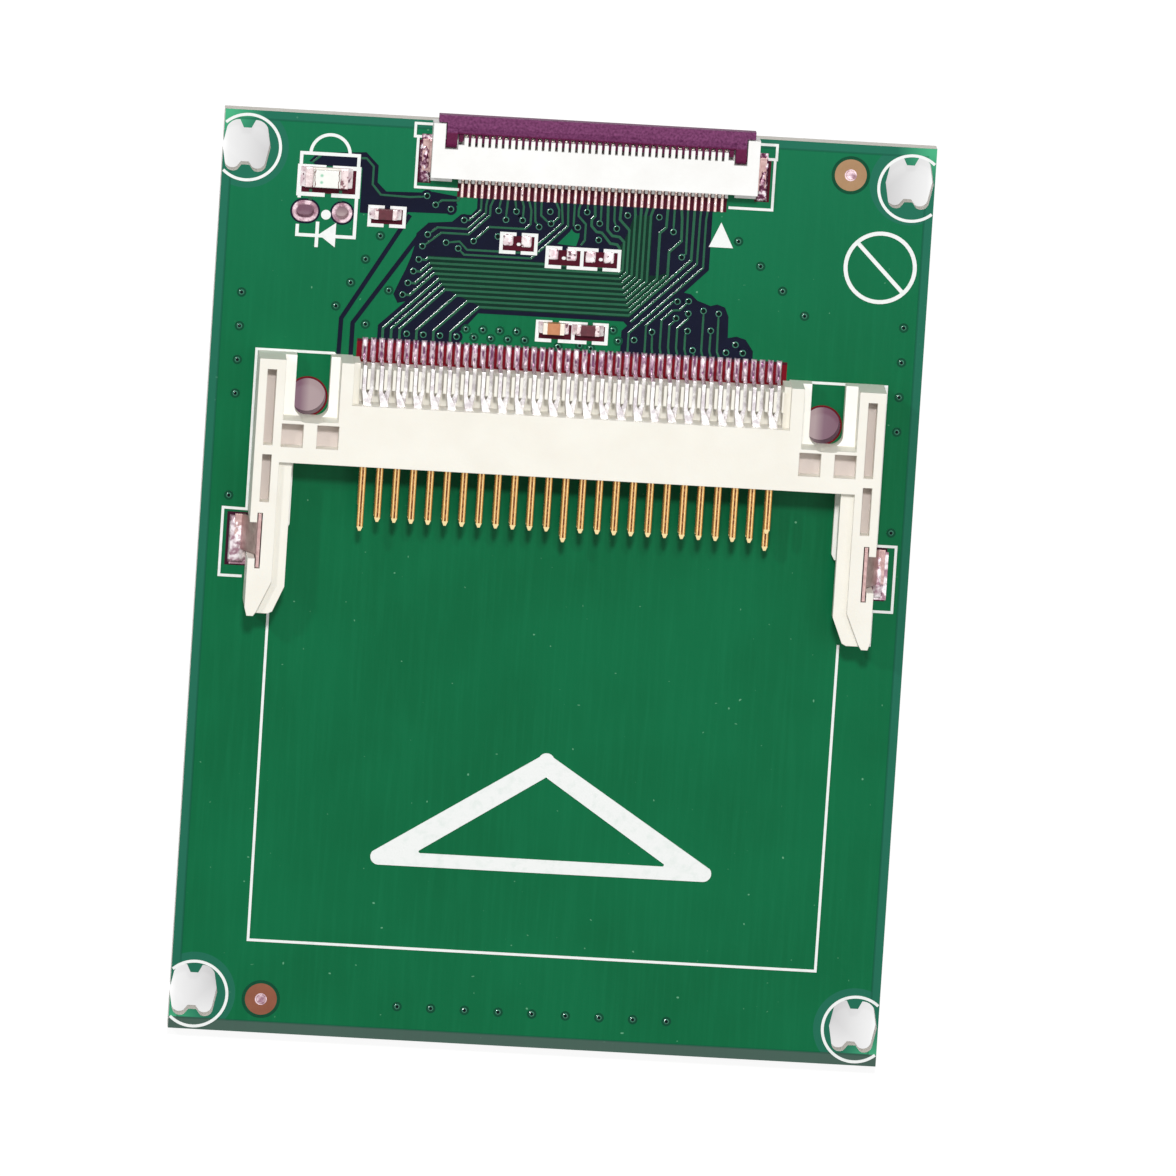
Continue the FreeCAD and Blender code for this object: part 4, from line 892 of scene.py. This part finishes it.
PAD_LENGTH = 1.72
mounds("card_solder_mounds", solder_finish,
       [(tail_place(number), pads_top - PAD_LENGTH / 2) for number in range(TAILS)],
       width=0.43, length=PAD_LENGTH, height=0.28, unevenness=0.4, lump_size=2.6)
WAY_PAD_LENGTH = 1.1
mounds("ribbon_solder_mounds", bright_tin,
       [(way_place(number), ways_end - 0.06 + WAY_PAD_LENGTH / 2) for number in range(WAYS)],
       width=0.24, length=WAY_PAD_LENGTH, height=0.2, unevenness=1.0, lump_size=3.2)


# Hold-downs of the card connector: tinned spring sheet. Solder has run up round each
# foot in rough, wrinkled heaps.
sheet_finish = clouded_finish("tinned_sheet", 0.32, 1.6, rgb(150, 106, 104), rgb(222, 194, 190),
                              bumps=3.0, depth=0.03, detail=4.0, bump_detail=3.0, edge=0.06,
                              metallic=0.8)
dress(sheet_finish, "card_hold_down_left", "card_hold_down_right", "ribbon_hold_down_left",
      "ribbon_hold_down_right")
dress(heap_finish, "hold_down_solder")
dress(bright_tin, "chip_solder_joints")
HEAP_Y = 2.52
for name, inner, outer in (("heap_left", card_low.x, -24.46), ("heap_right", card_high.x, 24.8)):
    mounds(name, heap_finish, [((inner + outer) / 2, HEAP_Y)], width=abs(inner - outer),
           length=3.6, height=0.36, unevenness=0.8, lump_size=2.2)
TAB_HEAP_Y, TAB_HEAP_OUT = 31.85, 0.42
mounds("ribbon_tab_heaps", heap_finish,
       [(ribbon_low.x - TAB_HEAP_OUT, TAB_HEAP_Y), (ribbon_high.x + TAB_HEAP_OUT, TAB_HEAP_Y)],
       width=0.8, length=3.1, height=0.26, unevenness=1.6, lump_size=3.0)


# Ribbon connector housing: white plastic, with a fine comb between the tails behind
# it. The comb is part of the moulding, too fine for the solids.
white_finish = clouded_finish("white_moulding", 0.42, 0.5, rgb(236, 235, 232),
                              rgb(242, 242, 240), bumps=7.0, depth=0.006, detail=4.0,
                              span=(0.3, 0.7), edge=0.05)
dress(white_finish, "ribbon_connector_housing")


def comb(name, places, bar, finish, body="board"):
    """A row of plain bars of one size, one on each place."""
    sizes = {"Width": bar.x, "Length": bar.y, "Height": bar.z}
    tree, given, end, keys = geometry_tree(name, *sizes)
    size = vector(tree, given["Width"], given["Length"], given["Height"])
    block = add(tree, "GeometryNodeMeshCube", {"Size": size}).outputs["Mesh"]
    tree.links.new(painted(tree, on_points(tree, given[0], block), finish), end)
    grown(name, places, tree, keys, {label: value * MM for label, value in sizes.items()}, body)


COMB_DEPTH = 0.38
BACK_COMB = Vector((0.22, 0.45, 0.9))
back_y = ribbon_low.y + COMB_DEPTH - BACK_COMB.y / 2
comb("ribbon_back_comb", [(way_place(number - 0.5), back_y, TOP + BACK_COMB.z / 2)
                          for number in range(WAYS + 1)], BACK_COMB, white_finish)


# Ribbon contacts: forty stamped forks with a gold flash, tinned where they are
# soldered.
way_finish, tree, shader, place = new_finish("tinned_contact", 0.26, 0.85)
across, along, _ = axes(tree, place)
from_way = off_centre(tree, across, first_way, WAY_PITCH)
flank = maths(tree, "MULTIPLY", spread(tree, from_way, 0.05, 0.1),
              maths(tree, "LESS_THAN", along, ribbon_low.y + 0.3))
tinned = blend(tree, noise(tree, place, 2.0, 3.0), rgb(222, 196, 186), rgb(250, 240, 232))
colour(tree, shader, blend(tree, flank, tinned, rgb(168, 92, 96)))
relief(tree, shader, noise(tree, place, 6.0), 0.01, soft_edges(tree, 0.03))
dress(way_finish, "ribbon_contacts")


# Locking bar: dark purple-brown nylon with a frosted face, hinged in the housing's
# ears. Fine teeth on its rear edge press the ribbon between the contacts.
FROST_EDGE = 34.5
latch_finish, tree, shader, place = new_finish("frosted_nylon", 0.5, specular=0.15)
along = axes(tree, place)[1]
grain = noise(tree, place, 5.5, 5.0)
frosted = blend(tree, spread(tree, grain, 0.3, 0.7), rgb(88, 34, 74), rgb(128, 66, 110))
# The band along the rear edge, short of FROST_EDGE, is painted darker: painted shade on the sloping
# rear face.
rear = blend(tree, grain, rgb(70, 8, 44), rgb(108, 26, 72))
colour(tree, shader, blend(tree, spread(tree, along, FROST_EDGE - 0.12, FROST_EDGE), rear, frosted))
relief(tree, shader, grain, 0.03, soft_edges(tree, 0.05))
dress(latch_finish, "ribbon_latch")
TOOTH = Vector((0.18, 0.7, 0.45))
PIVOT_Z = 3.2
TEETH_FOOT = PIVOT_Z - 0.3
FINGERS, TEETH_GAP = 2.71, 0.07
tooth_y = ribbon_low.y + COMB_DEPTH + FINGERS + TEETH_GAP + TOOTH.y / 2
comb("latch_teeth", [(way_place(number + 0.5), tooth_y, TEETH_FOOT + TOOTH.z / 2)
                     for number in range(WAYS - 1)], TOOTH, latch_finish, body="latch")
END_TOOTH_HALF, END_TOOTH_OUT = 0.17, 0.38
shape = bmesh.new()
for x in (way_place(0) - END_TOOTH_OUT, way_place(WAYS - 1) + END_TOOTH_OUT):
    outline = oblong(x - END_TOOTH_HALF, tooth_y - TOOTH.y / 2, x + END_TOOTH_HALF,
                     tooth_y + TOOTH.y / 2)
    prism(shape, outline, TEETH_FOOT, PIVOT_Z - 0.03)
piece("latch_end_teeth", shape, latch_finish, body="latch")


# Lamp: a chip LED with a white base, tinned ends and a milky moulded lens. Two small
# green marks and the wavy dark lines of its ends show in the lens.
base_finish = clouded_finish("lamp_base", 0.5, 2.0, rgb(226, 214, 206), rgb(244, 238, 230),
                             bumps=8.0, depth=0.01)
dress(base_finish, "led_base")
lens_low, lens_high = (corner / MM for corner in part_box("led_lens"))
lens_x = (lens_low.x + lens_high.x) / 2
lens_y = (lens_low.y + lens_high.y) / 2
lens_finish, tree, shader, place = new_finish("clear_lens", 0.12)
across, along, _ = axes(tree, place)
cloudy = noise(tree, place, 2.4, 3.0)
lens_tone = blend(tree, cloudy, rgb(234, 236, 230), rgb(248, 248, 242))
waved = maths(tree, "ADD", apart(tree, across, lens_x),
              maths(tree, "MULTIPLY", maths(tree, "SUBTRACT", cloudy, 0.5), 0.3))
LINE_OUT, MARK_OUT, MARK_APART = 0.9, 0.4, 0.52
at_ends = maths(tree, "LESS_THAN", apart(tree, waved, LINE_OUT), 0.035)
lens_tone = blend(tree, at_ends, lens_tone, rgb(132, 104, 98))
for mark in (lens_y - MARK_APART / 2, lens_y + MARK_APART / 2):
    away = flat_distance(tree, maths(tree, "SUBTRACT", across, lens_x - MARK_OUT),
                         maths(tree, "SUBTRACT", along, mark))
    lens_tone = blend(tree, spread(tree, away, 0.06, 0.16, 0.7, 0.0), lens_tone, rgb(70, 190, 140))
colour(tree, shader, lens_tone)
relief(tree, shader, noise(tree, place, 2.0), 0.03, soft_edges(tree, 0.1))
dress(lens_finish, "led_lens")
end_finish, tree, shader, place = new_finish("tinned_end", 0.3, 0.75)
pale = blend(tree, noise(tree, place, 2.2, 4.0), rgb(196, 168, 170), rgb(246, 236, 234))
colour(tree, shader, blend(tree, spread(tree, noise(tree, place, 2.9, 1.0), 0.62, 0.68), pale,
                           rgb(140, 104, 110)))
relief(tree, shader, noise(tree, place, 3.0, 3.0), 0.03, soft_edges(tree, 0.1))
dress(end_finish, "led_terminals", "led_resistor_ends", "signal_resistor_ends")


# Chip resistors and capacitor: a dark glazed body and a tan ceramic one, each with
# tinned ends. Three more sites are empty, their pads tinned.
body_finish = clouded_finish("resistor_glaze", 0.28, 2.2, rgb(60, 8, 22), rgb(104, 30, 46),
                             bumps=4.0, depth=0.012, edge=0.05)
dress(body_finish, "led_resistor_body", "signal_resistor_body")
tan_finish = clouded_finish("capacitor_ceramic", 0.42, 2.0, rgb(172, 104, 62), rgb(204, 142, 98),
                            bumps=7.0, depth=0.012, detail=4.0, edge=0.08)
dress(tan_finish, "capacitor_body")
cap_finish = clouded_finish("capacitor_end", 0.34, 2.6, rgb(226, 206, 188), rgb(248, 238, 226),
                            bumps=4.0, depth=0.02, edge=0.08, metallic=0.5)
dress(cap_finish, "capacitor_ends")
empty_pads = [(-4.96, 26.3), (-3.58, 26.25), (-1.52, 25.44), (-0.14, 25.43), (1.29, 25.36),
              (2.66, 25.38)]
mounds("empty_chip_pads", bright_tin, empty_pads, width=0.8, length=0.92, height=0.12,
       unevenness=1.0, lump_size=2.2)
EMPTY_BED_FILM = 0.04
shape = bmesh.new()
for bed in ((-5.34, 25.5, -3.0, 26.62), (-1.85, 24.6, 0.51, 25.75), (0.77, 24.6, 3.3, 25.75)):
    film(shape, oblong(*bed), EMPTY_BED_FILM)
piece("empty_chip_beds", shape, bare_finish)


# Studio: a pale floor in an even white surround. Under the board the floor is darker and glows
# with painted shade, grey and mauve where it shows through the board's holes. A key lamp on the
# ribbon's side and a soft one on the right light the board, and a small one on the left makes the
# glints on the traces and the vias.
floor_finish, tree, shader, place = new_finish("studio_floor", 0.9, specular=0.0)
across, along, _ = axes(tree, place)
beside = maths(tree, "SUBTRACT", board_high.x, maths(tree, "ABSOLUTE", across))
beyond = maths(tree, "SUBTRACT", board_high.y, maths(tree, "ABSOLUTE", along))
within = spread(tree, maths(tree, "MINIMUM", beside, beyond), 0.0, 10.0)
colour(tree, shader, ramp(tree, within, ((0.0, (0.2, 0.2, 0.2, 1)),
                                         (0.05, (0.08, 0.08, 0.08, 1)))))
# Painted shade of the board on the floor, deepest under the screw and wire holes.
shade = ramp(tree, within, ((0.0, (1, 1, 1, 1)), (0.4, rgb(207, 206, 207)),
                            (0.6, rgb(130, 90, 108)), (0.7, rgb(134, 98, 115)),
                            (0.77, rgb(182, 159, 161))))
tree.links.new(shade, shader.inputs["Emission Color"])
rays = add(tree, "ShaderNodeLightPath").outputs
seen = maths(tree, "MAXIMUM", rays["Is Camera Ray"],
             maths(tree, "MAXIMUM", rays["Is Glossy Ray"], rays["Is Transmission Ray"]))
tree.links.new(maths(tree, "MULTIPLY", seen, 0.86), shader.inputs["Emission Strength"])
FLOOR_HALF = 1.5
floor_mesh = bpy.data.meshes.new("floor")
FLOOR_Z = -0.05 * MM
floor_mesh.from_pydata([(x, y, FLOOR_Z) for x, y in oblong(-FLOOR_HALF, -FLOOR_HALF, FLOOR_HALF,
                                                           FLOOR_HALF)], [], [(0, 1, 2, 3)])
floor_mesh.materials.append(floor_finish)
floor = put("floor", floor_mesh)

world = bpy.data.worlds.new("surround")
bpy.context.scene.world = world
world.use_nodes = True
background = world.node_tree.nodes["Background"]
background.inputs["Color"].default_value = (1, 1, 1, 1)
rays = add(world.node_tree, "ShaderNodeLightPath").outputs
world.node_tree.links.new(
    spread(world.node_tree, rays["Is Diffuse Ray"], 0, 1, 1.0, 0.36), background.inputs["Strength"])


def lamp(name, place, width, power):
    """Square soft lamp that faces the middle of the board."""
    light = bpy.data.lights.new(name, "AREA")
    light.energy = power
    light.size = width
    made = put(name, light)
    made.location = place
    made.rotation_mode = "QUATERNION"
    made.rotation_quaternion = (-Vector(place)).to_track_quat("-Z", "Y")


lamp("key_lamp", (-0.03, 0.38, 0.8), 0.08, 4.1)
lamp("overhead_lamp", (0.35, 0.1, 0.9), 0.5, 1.2)
lamp("glint_lamp", (-0.437, 0.349, 0.571), 0.05, 1.2)

# Camera: a long lens nearly overhead, leaning towards the ribbon edge and turned a
# little, as in the photograph. The frame is 88 mm wide at the board.
TOWARDS = Vector((-0.055, 0.165, 0.98476)).normalized()
ROLL = 0.0654
DISTANCE = 2.0
FIELD = 0.08829
AIM_RIGHT, AIM_UP = 0.00279, -0.000175
level = Vector((0, 1, 0)).cross(TOWARDS).normalized()
upward = TOWARDS.cross(level)
right = level * math.cos(ROLL) + upward * math.sin(ROLL)
upward = upward * math.cos(ROLL) - level * math.sin(ROLL)
lens = bpy.data.cameras.new("camera")
lens.sensor_width = 36.0
lens.lens = lens.sensor_width * DISTANCE / FIELD
camera = put("camera", lens)
spot = right * AIM_RIGHT + upward * AIM_UP + TOWARDS * DISTANCE
turn = Matrix((right, upward, TOWARDS)).transposed()
camera.matrix_world = Matrix.Translation(spot) @ turn.to_4x4()
bpy.context.scene.camera = camera
bpy.context.scene.view_settings.view_transform = "Standard"
